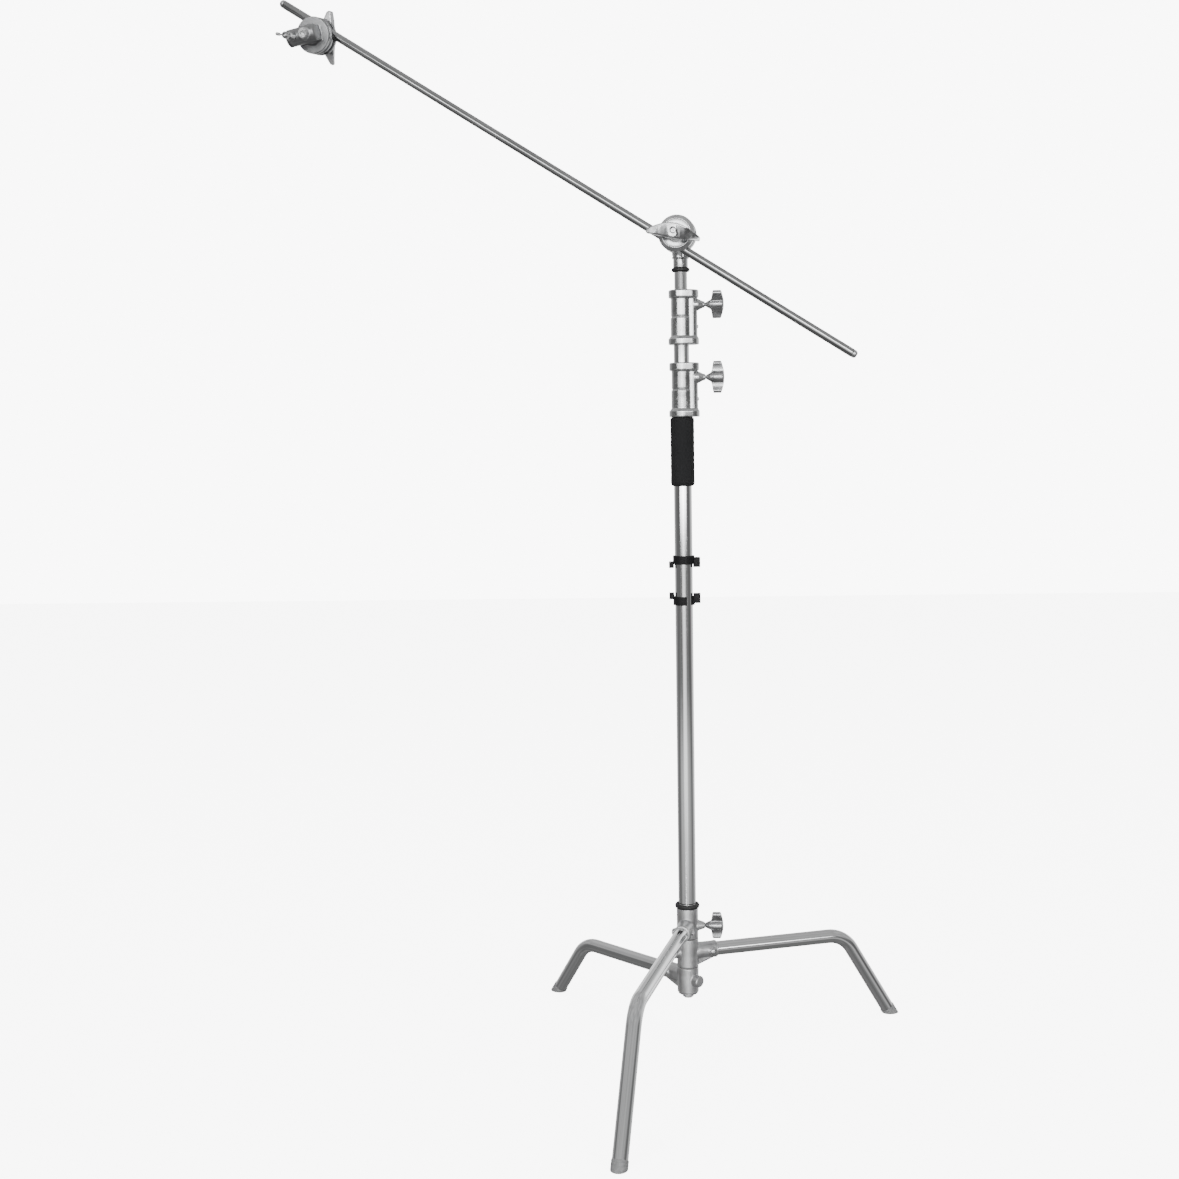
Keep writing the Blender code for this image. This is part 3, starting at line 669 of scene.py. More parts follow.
def lens(length, width, tip, bow=0.0):
    """Outline of a wing handle, whose tips a bow drops towards -Y. It runs anticlockwise."""
    reach = length / 2 - tip
    side = [-1 + 2 * i / 24 for i in range(25)]
    upper = [(reach * t, wing_half_width(t, width, tip, bow)) for t in reversed(side)]
    left = arc(tip, 90, 270, 10, (-reach, 0))[1:-1]
    lower = [(reach * t, -wing_half_width(t, width, tip, bow)) for t in side]
    right = arc(tip, -90, 90, 10, (reach, 0))[1:-1]
    return [(x, y - bow * (2 * x / length) ** 2) for x, y in upper + left + lower + right]


def mirrored(line):
    """The same line on the other side of x = 0, run backwards."""
    return [(-x, z) for x, z in reversed(line)]


def wing_blank(matrix, length, width, neck, top, bow):
    """Both wings: the lens outline, with faces that slope away from the hub towards the tips."""
    lift = (top - neck) * 0.16
    upper = [(length * t, top - lift * (2 * t) ** 2 * 1.6 + 0.0001) for t in (0.55, 0.42, 0.30, 0.15, 0.0)]
    lower = [(length * t, neck * 0.35 + neck * 0.65 * min(1, 5 * t) + lift * (2 * t) ** 2)
             for t in (0.0, 0.1, 0.2, 0.4, 0.55)]
    outline = upper[:-1] + mirrored(upper) + mirrored(lower)[:-1] + lower
    upright = matrix @ turn_to("-y")
    side = slab(outline[::-1], -width, width, 0.0002, upright)
    tip = 0.0055 if bow else width * 0.36
    wings = slab(lens(length, width, tip, bow), neck * 0.3, top, 0.0012, matrix)
    return cut(wings, side, operation="INTERSECT")


def lean_wings(thing, length, width, top, clear):
    """Slope the wings' fronts down below a crest that climbs from one tip to the other."""
    for vertex in thing.data.vertices:
        x, y, z = vertex.co
        crest = (2 * x / length) * width * 0.55
        below = max(0.0, crest - y)
        front = min(1.0, max(0.0, (z - top * 0.50) / (top * 0.40)))
        away = min(1.0, max(0.0, (math.hypot(x, y) - clear) / 0.006))
        vertex.co.z -= min(below * WING_LEAN, top * 0.3) * front * away


def wing_handle(node, joint, length, width, neck, top, shank, crown, slim=0.64, bow=0.0, bore=None):
    """T-handle: waisted hub, wings (slim is their width, as a share of the hub's), crown boss and screw."""
    matrix = wing_basis(node, joint)
    hub_r = width * 0.48
    crown_z = top + crown
    skirt = -0.0016
    hub = lathe([(0, crown_z), (hub_r * 0.80, crown_z), (hub_r * 0.96, crown_z - 0.0020),
                        (hub_r, neck + 0.0050), (hub_r * 0.80, neck * 0.70), (hub_r * 0.52, 0.0006),
                        (hub_r * 0.44, skirt), (0, skirt)], matrix, SMALL_ROUND, 0.0012)
    fuse(hub, wing_blank(matrix, length, width * slim, neck, top, bow))
    cast(hub, 0.00046 * max(1.0, length / 0.062), 8, 0.42)
    if bow:
        lean_wings(hub, length, width, top, hub_r * 0.9)
    dish = crown_z - 0.0018
    hollow = [(0, crown_z + 0.02), (hub_r * 0.52, crown_z + 0.02), (hub_r * 0.46, dish), (0, dish)]
    cuts = [lathe(hollow, matrix, SMALL_ROUND, 0)]
    if bore:
        cuts.append(drill(matrix, bore[0], -0.01, bore[1]))
    cut(hub, *cuts)
    stand_in(crisp(hub), node)
    cap_top = crown_z - 0.0008
    cap = lathe([(0, cap_top), (hub_r * 0.30, cap_top), (hub_r * 0.42, cap_top - 0.0008),
                                (hub_r * 0.42, cap_top - 0.0030), (0, cap_top - 0.0030)], matrix, SMALL_ROUND)
    cut(cap, hexagon_key(hub_r * 0.20, cap_top - 0.0006, cap_top + 0.01, matrix))
    extra(crisp(cap), node, "_cap", "steel")
    if shank:
        radius, depth = shank
        pitch = 0.0010
        line = [(0, -0.0004), (radius * 0.86, -0.0004)]
        for i in range(int((depth - 0.0025) / pitch)):
            z = -0.0010 - i * pitch
            line += [(radius, z), (radius * 0.84, z - pitch / 2)]
        line += [(radius * 0.82, -depth + 0.0004), (radius * 0.70, -depth), (0, -depth)]
        extra(lathe(line, matrix, 36, 0), node, "_thread", "steel")


def bolt_head(matrix, radius, height, key_r):
    """Domed head with a hexagon socket, sitting on local z = 0."""
    dome = [(radius * math.sin(math.radians(a)), height * (0.35 + 0.65 * math.cos(math.radians(a))))
            for a in (25, 45, 62, 76, 86)]
    head = lathe([(0, height)] + dome + [(radius, 0), (0, 0)], matrix, SMALL_ROUND, 0.0002)
    cut(head, hexagon_key(key_r, height * 0.3, height + 0.01, matrix))
    return crisp(head)


# ---------------------------------------------------------------- base and legs

def leg_axis(matrix, level):
    """Frame with Z out along the leg's level part."""
    return matrix @ raised(level) @ turn_to("+x")


def leg_hole(matrix, level):
    return drill(leg_axis(matrix, level), LEG_HOLE_R, LEG_START - 0.0015, 0.08)


def leg_socket(matrix, level, reach):
    """Boss for a leg tube, with a rolled lip at its mouth."""
    root = 0.005
    lip = reach - 0.006
    profile = [(0, reach), (0.0162, reach), (SOCKET_R, reach - 0.001), (SOCKET_R, lip), (0.0163, lip - 0.002)]
    profile += [(0.0163, 0.030), (SOCKET_R, 0.022), (SOCKET_R, root), (0, root)]
    return lathe(profile, leg_axis(matrix, level), SMALL_ROUND, 0.0006)


def leg_path(level, foot, bend_start):
    """Centre line of a leg: level, round the bend, then down to a point short of the floor."""
    drop = math.radians(58)
    for _ in range(30):
        corner = bend_start + LEG_BEND_R * math.tan(drop / 2)
        drop = math.atan2(level, foot - corner)
    path = [(LEG_START, 0, level)]
    for i in range(17):
        angle = drop * i / 16
        out, down = LEG_BEND_R * math.sin(angle), LEG_BEND_R * (1 - math.cos(angle))
        path.append((bend_start + out, 0, level - down))
    path.append((foot - TUBE_SHORT * math.cos(drop), 0, TUBE_SHORT * math.sin(drop)))
    return path, drop


def make_leg(side, hub_node, ear):
    """One leg's tube, foot cap and casting on the hub. Ear is the rear boss's height."""
    matrix, level, foot, bend_start = leg_frame(side)
    node = side + "_leg"
    path, drop = leg_path(level, foot, bend_start)
    stand_in(sweep(path, LEG_R, SMALL_ROUND, matrix), node + "_tube")

    down = matrix @ Matrix.Translation((foot, 0, 0)) @ Matrix.Rotation(drop - math.pi / 2, 4, "Y")
    inner, plug = LEG_HOLE_R, TUBE_SHORT - 0.0004
    points = local_points(node + "_foot", down)
    outer, reach = float(np.hypot(points[:, 0], points[:, 1]).max()) - 0.0002, float(points[:, 2].max())
    line = [(inner + 0.0003, reach), (outer - 0.0003, reach - 0.0003), (outer, reach - 0.0010)]
    for i in range(2):
        z = reach - 0.0045 - 0.0050 * i
        line += [(outer, z), (outer - 0.0003, z - 0.0004), (outer - 0.0003, z - 0.0012), (outer, z - 0.0016)]
    line += [(outer, -0.014), (0, -0.014), (0, plug), (inner, plug), (inner, reach)]
    cap = lathe(line, down, ROUND, 0)
    stand_in(crisp(trim_at_floor(cap)), node + "_foot")

    low, high = height_span(hub_node)
    casting = lathe([(0, high), (HUB_R, high), (HUB_R, low), (0, low)], matrix, ROUND, 0.0012)
    pieces = [leg_socket(matrix, level, 0.062 if side == "front" else 0.060)]
    web_low, web_high = level - 0.0125, level + 0.0125
    pieces.append(block((0.004, -0.0125, web_low), (0.034, 0.0125, web_high), 0.004, matrix))
    toe = level - min(0.027, level - low - 0.002)
    gusset = [(0.006, toe), (0.020, toe), (0.052, level - 0.0150), (0.052, level), (0.006, level)]
    upright = matrix @ turn_to("-y")
    pieces.append(slab(gusset, -0.0105, 0.0105, 0.0030, upright))
    if ear:
        boss = [(0, 0.0330), (0.0104, 0.0330), (0.0118, 0.0312), (0.0122, 0.010), (0, 0.010)]
        ear_place = matrix @ raised(ear) @ turn_to("-x")
        pieces.append(lathe(boss, ear_place, SMALL_ROUND, 0.0008))
    bolt_low, bolt_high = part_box(node + "_bolt")
    bolt_out = (bolt_low + bolt_high) / 2 - Vector((AXIS.x, AXIS.y, 0))
    cross = matrix @ Matrix.Translation(((matrix.to_3x3().transposed() @ bolt_out).x, 0, level))
    for way in ("+y", "-y"):
        pad = [(0, 0.0175), (0.0072, 0.0175), (0.0078, 0.0165), (0.0078, 0.008), (0, 0.008)]
        pieces.append(lathe(pad, cross @ turn_to(way), 32, 0.0004))
    return matrix, level, casting, pieces, cross


def finish_casting(casting, pieces, holes, node):
    fuse(casting, *pieces)
    cast(casting, 0.00062, 6, 0.42)
    cut(casting, *holes)
    stand_in(crisp(casting), node, "satin_casting")


def cross_bolt(node, cross):
    """Button-head bolt and lock nut across a leg socket."""
    reach = 0.0176
    end = -reach - 0.0049
    shank = [(0, reach), (0.0029, reach), (0.0029, end + 0.0005), (0.0024, end), (0, end)]
    stand_in(lathe(shank, cross @ turn_to("-y"), 32, 0), node)
    head = cross @ turn_to("-y") @ raised(reach)
    extra(bolt_head(head, 0.0065, 0.0048, 0.0023), node, "_head")
    nut = slab(fillet(arc(0.0056, 0, 300, 5), 0.0004), 0.0002, 0.0040, 0.0004,
               cross @ turn_to("+y") @ raised(reach))
    cut(nut, drill(cross @ turn_to("+y"), 0.0031, reach - 0.01, reach + 0.02))
    extra(crisp(nut), node, "_nut")


def make_base():
    spindle_low, spindle_high = height_span("hub_spindle")
    floor = spindle_low + 0.010
    wall = [(SPINDLE_R, spindle_high), (SPINDLE_R, spindle_low), (0.0063, spindle_low), (0.0063, floor)]
    wall += [(0.0145, floor), (0.0145, spindle_high)]
    spindle = lathe(wall, COLUMN, ROUND)
    screw_z = joint_place("base_screw_turn").z
    screw_place = COLUMN @ raised(screw_z) @ turn_to("+x")
    cut(spindle, drill(screw_place, SCREW_HOLE_R, 0.010, 0.045))
    stand_in(crisp(spindle), "hub_spindle")

    bolt_low, bolt_high = height_span("hub_tie_bolt")
    line = [(0, bolt_high), (0.0095, bolt_high), (0.0095, bolt_high - 0.0082), (0.0059, bolt_high - 0.0082)]
    z = spindle_low - 0.0035
    while z > bolt_low + 0.0015:
        line += [(0.0059, z), (0.0053, z - 0.0007)]
        z -= 0.0014
    line += [(0.0052, bolt_low + 0.0004), (0.0046, bolt_low), (0, bolt_low)]
    turned("hub_tie_bolt", line, 0, SMALL_ROUND)

    low, high = height_span("hub_washer")
    turned("hub_washer", ring(0.0195, 0.0062, low, high), 0.0005)
    low, high = height_span("hub_nut")
    nut = slab(fillet(arc(0.0110, 0, 300, 5), 0.0006), low, high, 0.0007, COLUMN)
    cut(nut, drill(COLUMN, 0.0061, low - 0.01, high + 0.01))
    stand_in(crisp(nut), "hub_nut")
    for node in ("lower_thrust_washer", "upper_thrust_washer"):
        low, high = height_span(node)
        turned(node, ring(0.0212, HUB_BORE_R, low, high), 0.0003)

    low, high = height_span("base_o_ring")
    middle, half = (low + high) / 2, (high - low) / 2
    outer = tube_radius("base_o_ring")
    inner = tube_radius("column_tube") + GAP
    width = (outer - inner) / 2
    section = [(inner + width + width * math.cos(a), middle + half * math.sin(a))
               for a in (2 * math.pi * i / 20 for i in range(20))]
    turned("base_o_ring", section, 0)

    matrix, level, casting, pieces, cross = make_leg("front", "base_socket", 0)
    cone = [(0, 0.035), (0.0062, 0.035), (0.0115, 0.020), (0.0115, 0.010), (0, 0.010)]
    pieces.append(lathe(cone, screw_place, SMALL_ROUND, 0.0006))
    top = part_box("base_socket")[1].z
    rim = [(HUB_R, top), (HUB_R, top - 0.006), (0.0206, top - 0.007), (0.0206, top - 0.012)]
    rim += [(0.017, top - 0.012), (0.017, top)]
    pieces.append(lathe(rim, COLUMN, ROUND, 0.0003))
    holes = [drill(COLUMN, HUB_BORE_R, 0.19, 0.2675),
             drill(screw_place, SCREW_HOLE_R, 0.010, 0.036, 0.0006), leg_hole(matrix, level)]
    finish_casting(casting, pieces, holes, "base_socket")
    cross_bolt("front_leg_bolt", cross)

    for side, ear in (("right", 0.177), ("left", 0.1210)):
        node = side + "_leg_bracket"
        matrix, level, casting, pieces, cross = make_leg(side, node, ear)
        low, high = height_span(node)
        holes = [drill(COLUMN, HUB_BORE_R, low - 0.02, high + 0.02), leg_hole(matrix, level)]
        finish_casting(casting, pieces, holes, node)
        cross_bolt(side + "_leg_bolt", cross)
    wing_handle("base_knob", "base_screw_turn", 0.060, 0.022, 0.010, 0.035, (0.0040, 0.0220), -0.0015)


# ---------------------------------------------------------------- column and risers

def collar_outline(big, small, distance):
    """Round a circle at the origin and a smaller one at +X, with straight sides."""
    tangent = math.degrees(math.acos((big - small) / distance))
    return arc(big, tangent, 360 - tangent, 44) + arc(small, -tangent, tangent, 20, (distance, 0.0))


def make_collar(owner, tube, riser):
    """Clamp collar on top of a tube, with its set screw, bush, shoe and knob."""
    node, joint = owner + "_collar", owner + "_screw_turn"
    tube_r, riser_r = tube_radius(tube), tube_radius(riser)
    low, high = height_span(node)
    height = high - low
    place = COLUMN @ raised(low)
    screw_z = joint_place(joint).z - low
    step, small_x, hole_r = 0.0530, 0.0190, 0.0046
    barrel = [(0, height - 0.004), (0.0196, height - 0.004), (0.0197, step + 0.0022), (0.0188, step + 0.0012),
              (0.0188, step - 0.0008), (0.0203, step - 0.0018), (0.0204, 0.004), (0, 0.004)]
    casting = lathe(barrel, place, ROUND, 0.0003)
    rib = [(0, height - 0.004), (0.0122, height - 0.004), (0.0126, 0.004), (0, 0.004)]
    pieces = [lathe(rib, place @ Matrix.Translation((small_x, 0, 0)), SMALL_ROUND, 0.0003)]
    flange = 0.0155
    for big, small, bottom, top, edge in ((0.0250, 0.0205, 0.0, flange - 0.003, 0.0016),
                                          (0.0226, 0.0190, 0.002, flange, 0.0016),
                                          (0.0240, 0.0200, height - flange, height, 0.0022)):
        pieces.append(slab(collar_outline(big, small, 0.0140), bottom, top, edge, place))
    neck, root = 0.0460, 0.0215
    cone = [(0, neck), (0.0058, neck), (0.0066, neck - 0.004), (0.0113, 0.0325), (0.0113, root), (0, root)]
    screw_place = place @ raised(screw_z) @ turn_to("+x")
    pieces.append(lathe(cone, screw_place, SMALL_ROUND, 0.0005))
    fuse(casting, *pieces)
    cast(casting, 0.00066, 7, 0.5)
    cut(casting, drill(place, tube_r + GAP, -0.01, 0.0522),
        drill(place, tube_r + GAP - 0.00001, 0.05, height, 0.0008),
        drill(screw_place, hole_r, 0.009, neck, 0.0008))
    stand_in(crisp(casting), node)

    pin = place @ Matrix.Translation((small_x + 0.0118, 0, 0.0345)) @ turn_to("+x")
    extra(bolt_head(pin, 0.0034, 0.0027, 0.0015), node, "_set_screw", "steel")

    bush_low, bush_high = height_span(node + "_bush")
    bush = lathe(ring(tube_r, riser_r + GAP, bush_low, bush_high), COLUMN, ROUND, 0.0003)
    cut(bush, drill(screw_place, hole_r, 0.009, 0.06))
    stand_in(crisp(bush), node + "_bush")
    shoe = [(0, 0.0208), (0.0042, 0.0208), (0.0042, riser_r + 0.0005), (0, riser_r + 0.0005)]
    stand_in(lathe(shoe, screw_place, SMALL_ROUND), node + "_shoe")
    wing_handle(node + "_knob", joint, 0.062, 0.022, 0.008, 0.033, (0.0040, 0.0283), -0.0015)


def make_clip(node):
    """Snap-on cord clip: an open ring, a slotted block and a thumb tab with grip ribs."""
    low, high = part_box(node)
    flip = node == "upper_clip"
    centre = low.z + 0.0160 if flip else high.z - 0.0160
    place = COLUMN @ raised(centre) @ Matrix.Rotation(math.pi if flip else 0, 4, "X")
    inner = tube_radius("column_tube") + 0.0006
    outline = arc(0.0212, -30, 286, 60) + arc(inner, 286, -30, 60)
    clip = slab(fillet(outline, 0.0008), -0.0085, 0.0085, 0.0006, place)
    pieces = [block((0.0185, -0.0075, -0.0050), (0.0325, 0.0075, 0.0145), 0.0014, place),
              block((-0.0290, -0.0065, 0.0030), (-0.0190, 0.0065, 0.0160), 0.0014, place)]
    for i in range(4):
        z = 0.0050 + 0.0026 * i
        pieces.append(block((-0.0290, -0.0058, z), (-0.0270, 0.0058, z + 0.0012), 0.0005, place))
    fuse(clip, *pieces)
    cast(clip, 0.00042, 3, 0.40)
    cut(clip, block((0.0245, -0.0030, -0.0100), (0.0400, 0.0030, 0.0200), 0.0006, place),
        drill(place, inner, -0.02, 0.02))
    stand_in(crisp(clip), node)


def make_column():
    tube_r = tube_radius("column_tube")
    low, high = height_span("column_tube")
    groove_r = tube_r - 0.0004
    wall = [(tube_r, high), (tube_r, low + 0.0110), (groove_r, low + 0.0104), (groove_r, low + 0.0090),
            (tube_r, low + 0.0084), (tube_r, low), (0.0155, low), (0.0155, high)]
    turned("column_tube", wall)
    low, high = height_span("column_spigot")
    step = height_span("base_socket")[1] + GAP
    wall = [(0.0151, high), (0.0151, step), (0.0142, step), (0.0142, low), (0.0110, low), (0.0110, high)]
    turned("column_spigot", wall)

    low, high = height_span("foam_grip")
    r = tube_radius("foam_grip")
    wall = [(r - 0.0030, high), (r - 0.0004, high - 0.0030), (r, high - 0.008)]
    for i in range(1, 28):
        z = high - 0.008 + (low + 0.010 - high + 0.008) * i / 28
        wall.append((r - 0.00022 * (1 + math.sin(i * 1.7) * math.cos(i * 0.61)), z))
    wall += [(r, low + 0.0060), (r - 0.0015, low + 0.0018), (r - 0.004, low), (tube_r + GAP, low),
             (tube_r + GAP, high)]
    turned("foam_grip", wall, 0.0008)
    make_collar("column", "column_tube", "riser_1_tube")
    make_clip("upper_clip")
    make_clip("lower_clip")


def make_riser(node, bore_r, plug):
    tube_r = tube_radius(node)
    low, high = height_span(node)
    turned(node, ring(tube_r, bore_r, low, high))
    low, high = height_span(plug)
    wall = [(bore_r - GAP, high), (bore_r - GAP, low + 0.0077), (tube_r, low + 0.0077), (tube_r, low),
            (bore_r - 0.003, low), (bore_r - 0.003, high)]
    turned(plug, wall, 0.0003)


def make_risers():
    make_riser("riser_1_tube", 0.0130, "riser_1_end_plug")
    make_riser("riser_2_tube", 0.0105, "riser_2_end_plug")
    make_collar("riser", "riser_1_tube", "riser_2_tube")
    low, high = height_span("riser_o_ring")
    outer, inner = tube_radius("riser_o_ring"), tube_radius("riser_2_tube") + GAP
    section = [(outer - 0.0018, high), (outer, high - 0.0018), (outer, low + 0.0018), (outer - 0.0018, low),
               (inner, low), (inner, high)]
    turned("riser_o_ring", section, 0.0012)
    low, high = height_span("stand_stud")
    shoulder, seat = high - 0.0320, height_span("riser_2_tube")[1] + 0.0007
    waist, plug = 0.0068, 0.0102
    stud = [(0, high), (0.0065, high), (ROD_R, high - 0.0015), (ROD_R, high - 0.0140), (waist, high - 0.0160),
            (waist, high - 0.0220), (ROD_R, high - 0.0240), (ROD_R, shoulder), (0.0138, shoulder)]
    stud += [(0.0143, shoulder - 0.0006), (0.0143, seat + 0.0003), (0.0125, seat)]
    stud += [(plug, seat), (plug, low), (0, low)]
    turned("stand_stud", stud, 0.0003)


# ---------------------------------------------------------------- grip heads and arm

class Head:
    """Frames and levels of one grip head. The levels are distances along the bolt, towards the handle."""

    def __init__(self, name, out, bolt_place, mount_up, rod_along, finish):
        self.name = name
        self.finish = finish
        self.out = out
        self.mount = basis(bolt_place, mount_up, mount_up.cross(out))
        self.bolt = basis(bolt_place, out, mount_up)
        jaw_up = rod_along.cross(-out)
        self.jaws = basis(bolt_place, out, jaw_up)

    def level(self, node):
        """Lowest and highest distance of a CAD node along the bolt."""
        along = (cad_points(self.name + node) - np.array(self.bolt.translation)) @ np.array(self.out)
        return float(along.min()), float(along.max())


def make_mount(head):
    """Mount: domed barrel with the stud bore, its web, the screw boss and the serrated friction plate."""
    place, name = head.mount, head.name
    mouth = -0.0415
    barrel = [(0, 0.0200), (0.0120, 0.0198), (0.0156, 0.0178), (0.0165, 0.0140), (0.0165, mouth), (0, mouth)]
    casting = lathe(barrel, place, ROUND, 0.001)
    back = 0.0180
    plate = [(0, back + 0.0080), (JAW_R, back + 0.0080), (JAW_R, back + 0.0012), (0.0340, back),
             (0.0200, back - 0.0006), (0.0170, back - 0.0070), (0, back - 0.0070)]
    serrated = (back + 0.0005, back + 0.0090, 0.030)
    pieces = [lathe(plate, head.bolt, 120, 0.0006, 60, 0.0006, serrated)]
    pieces.append(block((-0.0148, -0.0225, -0.0300), (0.0148, -0.0020, 0.0180), 0.003, place))
    boss = [(0, 0.026), (0.0070, 0.026), (0.0078, 0.0235), (0.0092, 0.021), (0.0092, 0.008), (0, 0.008)]
    drop = -(joint_place(name + "_lock_turn") - place.translation).dot(place.to_3x3() @ UP)
    screw_place = place @ raised(-drop) @ turn_to("+y")
    pieces.append(lathe(boss, screw_place, SMALL_ROUND, 0.0005))
    rear = [(0, 0.0200), (0.0125, 0.0168), (0.0132, 0.0155), (0.0132, 0.002), (0, 0.002)]
    pieces.append(lathe(rear, head.bolt @ FLIP, SMALL_ROUND, 0.0004))
    fuse(casting, *pieces)
    cast(casting, 0.00068, 5, 0.42)
    holes = [drill(place @ FLIP, ROD_R + GAP, 0.0098, -mouth, 0.0010),
             drill(head.bolt, BOLT_HOLE_R, -0.04, 0.04), drill(screw_place, 0.0038, 0.004, 0.026, 0.0006)]
    groove = [(0.030, -0.0350), (0.0150, -0.0350), (0.0150, -0.0375), (0.030, -0.0375)]
    holes.append(lathe(groove, place, SMALL_ROUND, 0))
    cut(casting, *holes)
    stand_in(crisp(casting), name + "_mount", head.finish)


def make_jaw(head, node, outward):
    """Jaw disc: knurled rim, stepped back, and V grooves with teeth across the gripping face."""
    low, high = head.level(node)
    face, sign = (low, 1) if outward else (high, -1)

    def z(depth):
        return face + sign * depth

    thick = high - low
    profile = [(0, z(0)), (0.0340, z(0)), (JAW_R, z(0.0010)), (JAW_R, z(thick - 0.0052)),
               (0.0347, z(thick - 0.0045)), (0.0280, z(thick - 0.0002)), (0.0274, z(thick)),
               (0.0266, z(thick)), (0.0258, z(thick - 0.0006)), (0.0180, z(thick - 0.0010)),
               (0.0165, z(thick - 0.0008)), (0.0158, z(thick)), (0, z(thick))]
    knurled = (*sorted((z(0.0014), z(thick - 0.0038))), 0.0345)
    disc = lathe(profile, head.jaws, 144, 0.0003, 72, 0.0004, knurled)
    cuts = [drill(head.jaws, BOLT_HOLE_R, low - 0.01, high + 0.01)]
    gap_half, teeth = 0.0050, 90
    edge_z = z(-0.002)
    for offset, reach in ((-0.0180, 0.0118), (0.0200, 0.0090)):
        tip = z(reach - gap_half)
        half = abs(tip - edge_z)
        work = bmesh.new()
        rows = []
        for k in range(teeth + 1):
            y = -0.040 + 0.080 * k / teeth
            bite = 0.00035 * (k % 2)
            half_cut = half - bite
            corners = ((offset, tip - sign * bite), (offset + half_cut, edge_z), (offset - half_cut, edge_z))
            rows.append([work.verts.new((x, y, height)) for x, height in corners])
        skin(work, rows)
        cuts.append(from_bmesh(work, head.jaws))
    cut(disc, *cuts)
    stand_in(crisp(disc), head.name + node, head.finish)


def make_head(head):
    name = head.name
    make_mount(head)
    low, high = head.level("_bolt")
    line = [(0, high)]
    z = high - 0.0004
    line += [(0.0050, high), (0.0054, z)]
    while z > high - 0.0500:
        line += [(0.0059, z - 0.0005), (0.0054, z - 0.0010)]
        z -= 0.0010
    line += [(0.0059, z - 0.0010), (0.0059, -0.0172), (0.0105, -0.0172), (0.0105, low + 0.0024)]
    line += [(0.0085, low), (0, low)]
    bolt = lathe(line, head.bolt, SMALL_ROUND, 0)
    cut(bolt, hexagon_key(0.0048, low - 0.01, low + 0.0040, head.bolt))
    stand_in(crisp(bolt), name + "_bolt")
    for node, outer in (("_friction_washer", 0.0300), ("_thrust_washer", 0.0150)):
        low, high = head.level(node)
        stand_in(lathe(ring(outer, BOLT_HOLE_R, low, high), head.bolt, ROUND, 0.0004), name + node)
    make_jaw(head, "_inner_jaw", False)
    make_jaw(head, "_outer_jaw", True)
    low, high = head.level("_spring")
    wire = 0.0009
    coil = []
    turns, per_turn = 3, 36
    for i in range(turns * per_turn + 1):
        angle = 2 * math.pi * i / per_turn
        rise = low + wire + (high - low - 2 * wire) * i / (turns * per_turn)
        coil.append((0.0084 * math.cos(angle), 0.0084 * math.sin(angle), rise))
    stand_in(sweep(coil, wire, 12, head.jaws), name + "_spring")
    wing_handle(name + "_handle", name + "_grip_turn", 0.103, 0.029, 0.0150, 0.0370, None, -0.0028,
                slim=0.96, bow=0.008, bore=(0.0062, 0.0223))
    wing_handle(name + "_stud_screw", name + "_lock_turn", 0.038, 0.0145, 0.006, 0.020, (0.0035, 0.0204),
                -0.0012)


def make_arm():
    along = joint_axis("arm_slide")
    centre = joint_place("head_2_roll")
    place = basis(centre, along, UP)
    reach = (cad_points("arm_tube") - np.array(centre)) @ np.array(along)
    low, high = float(reach.min()), float(reach.max())
    wall = ring(ROD_R, ROD_BORE_R, low, high)
    # The arm takes the chrome copy with painted shade towards the far head.
    stand_in(lathe(wall, place, ROUND, 0.0003), "arm_tube", "tarnished_tube")
    for node, end, turn in (("arm_left_tip", low, math.pi), ("arm_right_tip", high, 0.0)):
        tip = [(0, 0.0090), (0.0044, 0.0090), (0.0068, 0.0066), (0.0078, 0.0030), (0.0078, 0.0017)]
        tip += [(0.0072, 0.0013), (0.0072, 0.0009), (0.0078, 0.0005), (0.0078, 0.0003)]
        tip += [(0.0059, 0.0003), (0.0059, -0.0200), (0, -0.0200)]
        spot = place @ raised(end) @ Matrix.Rotation(turn, 4, "X")
        stand_in(settle(lathe(tip, spot, SMALL_ROUND, 0.0004)), node)


def make_heads():
    rod = joint_axis("arm_slide")
    make_head(Head("head_1", -joint_axis("arm_pitch"), joint_place("arm_pitch"), UP.copy(), rod, "casting"))
    up = -Vector(MOUNTS["far_head_socket_face"]["axis"])
    # The far head's mount and jaws take the darker copy of the casting, which is painted shade.
    make_head(Head("head_2", -joint_axis("head_2_swivel"), joint_place("head_2_swivel"), up, rod,
                   "dull_casting"))


# ---------------------------------------------------------------- floor, light and camera

def make_floor():
    mesh = bpy.data.meshes.new("floor")
    work = bmesh.new()
    bmesh.ops.create_grid(work, x_segments=4, y_segments=4, size=9.0)
    work.to_mesh(mesh)
    work.free()
    floor = new_object("floor", mesh)
    look = Finish("pale_floor", (0.86, 0.86, 0.86), 0.0, 0.75)
    look.tint(look.noise(1.5, 3), 0.98, 1.02)
    look.rough(look.noise(60, 4), 0.68, 0.84)
    look.bump(look.noise(300, 3), 0.0002, 0.2)
    look.shader.inputs["Emission Color"].default_value = (1, 1, 1, 1)
    look.shader.inputs["Emission Strength"].default_value = 7.0
    mesh.materials.append(look.material)
    floor.visible_glossy = False
    floor.visible_diffuse = False


HORIZON = ((0.0, 0.27), (0.014, 0.21), (0.055, 0.036), (0.20, 0.030), (0.50, 0.028),
           (0.78, 0.07), (1.0, 0.20))
SEEN_STRENGTH = 9.0         # of the plain white that the camera sees
STUDIO_STRENGTH = 7.0       # of the studio that lights and reflects in the stand


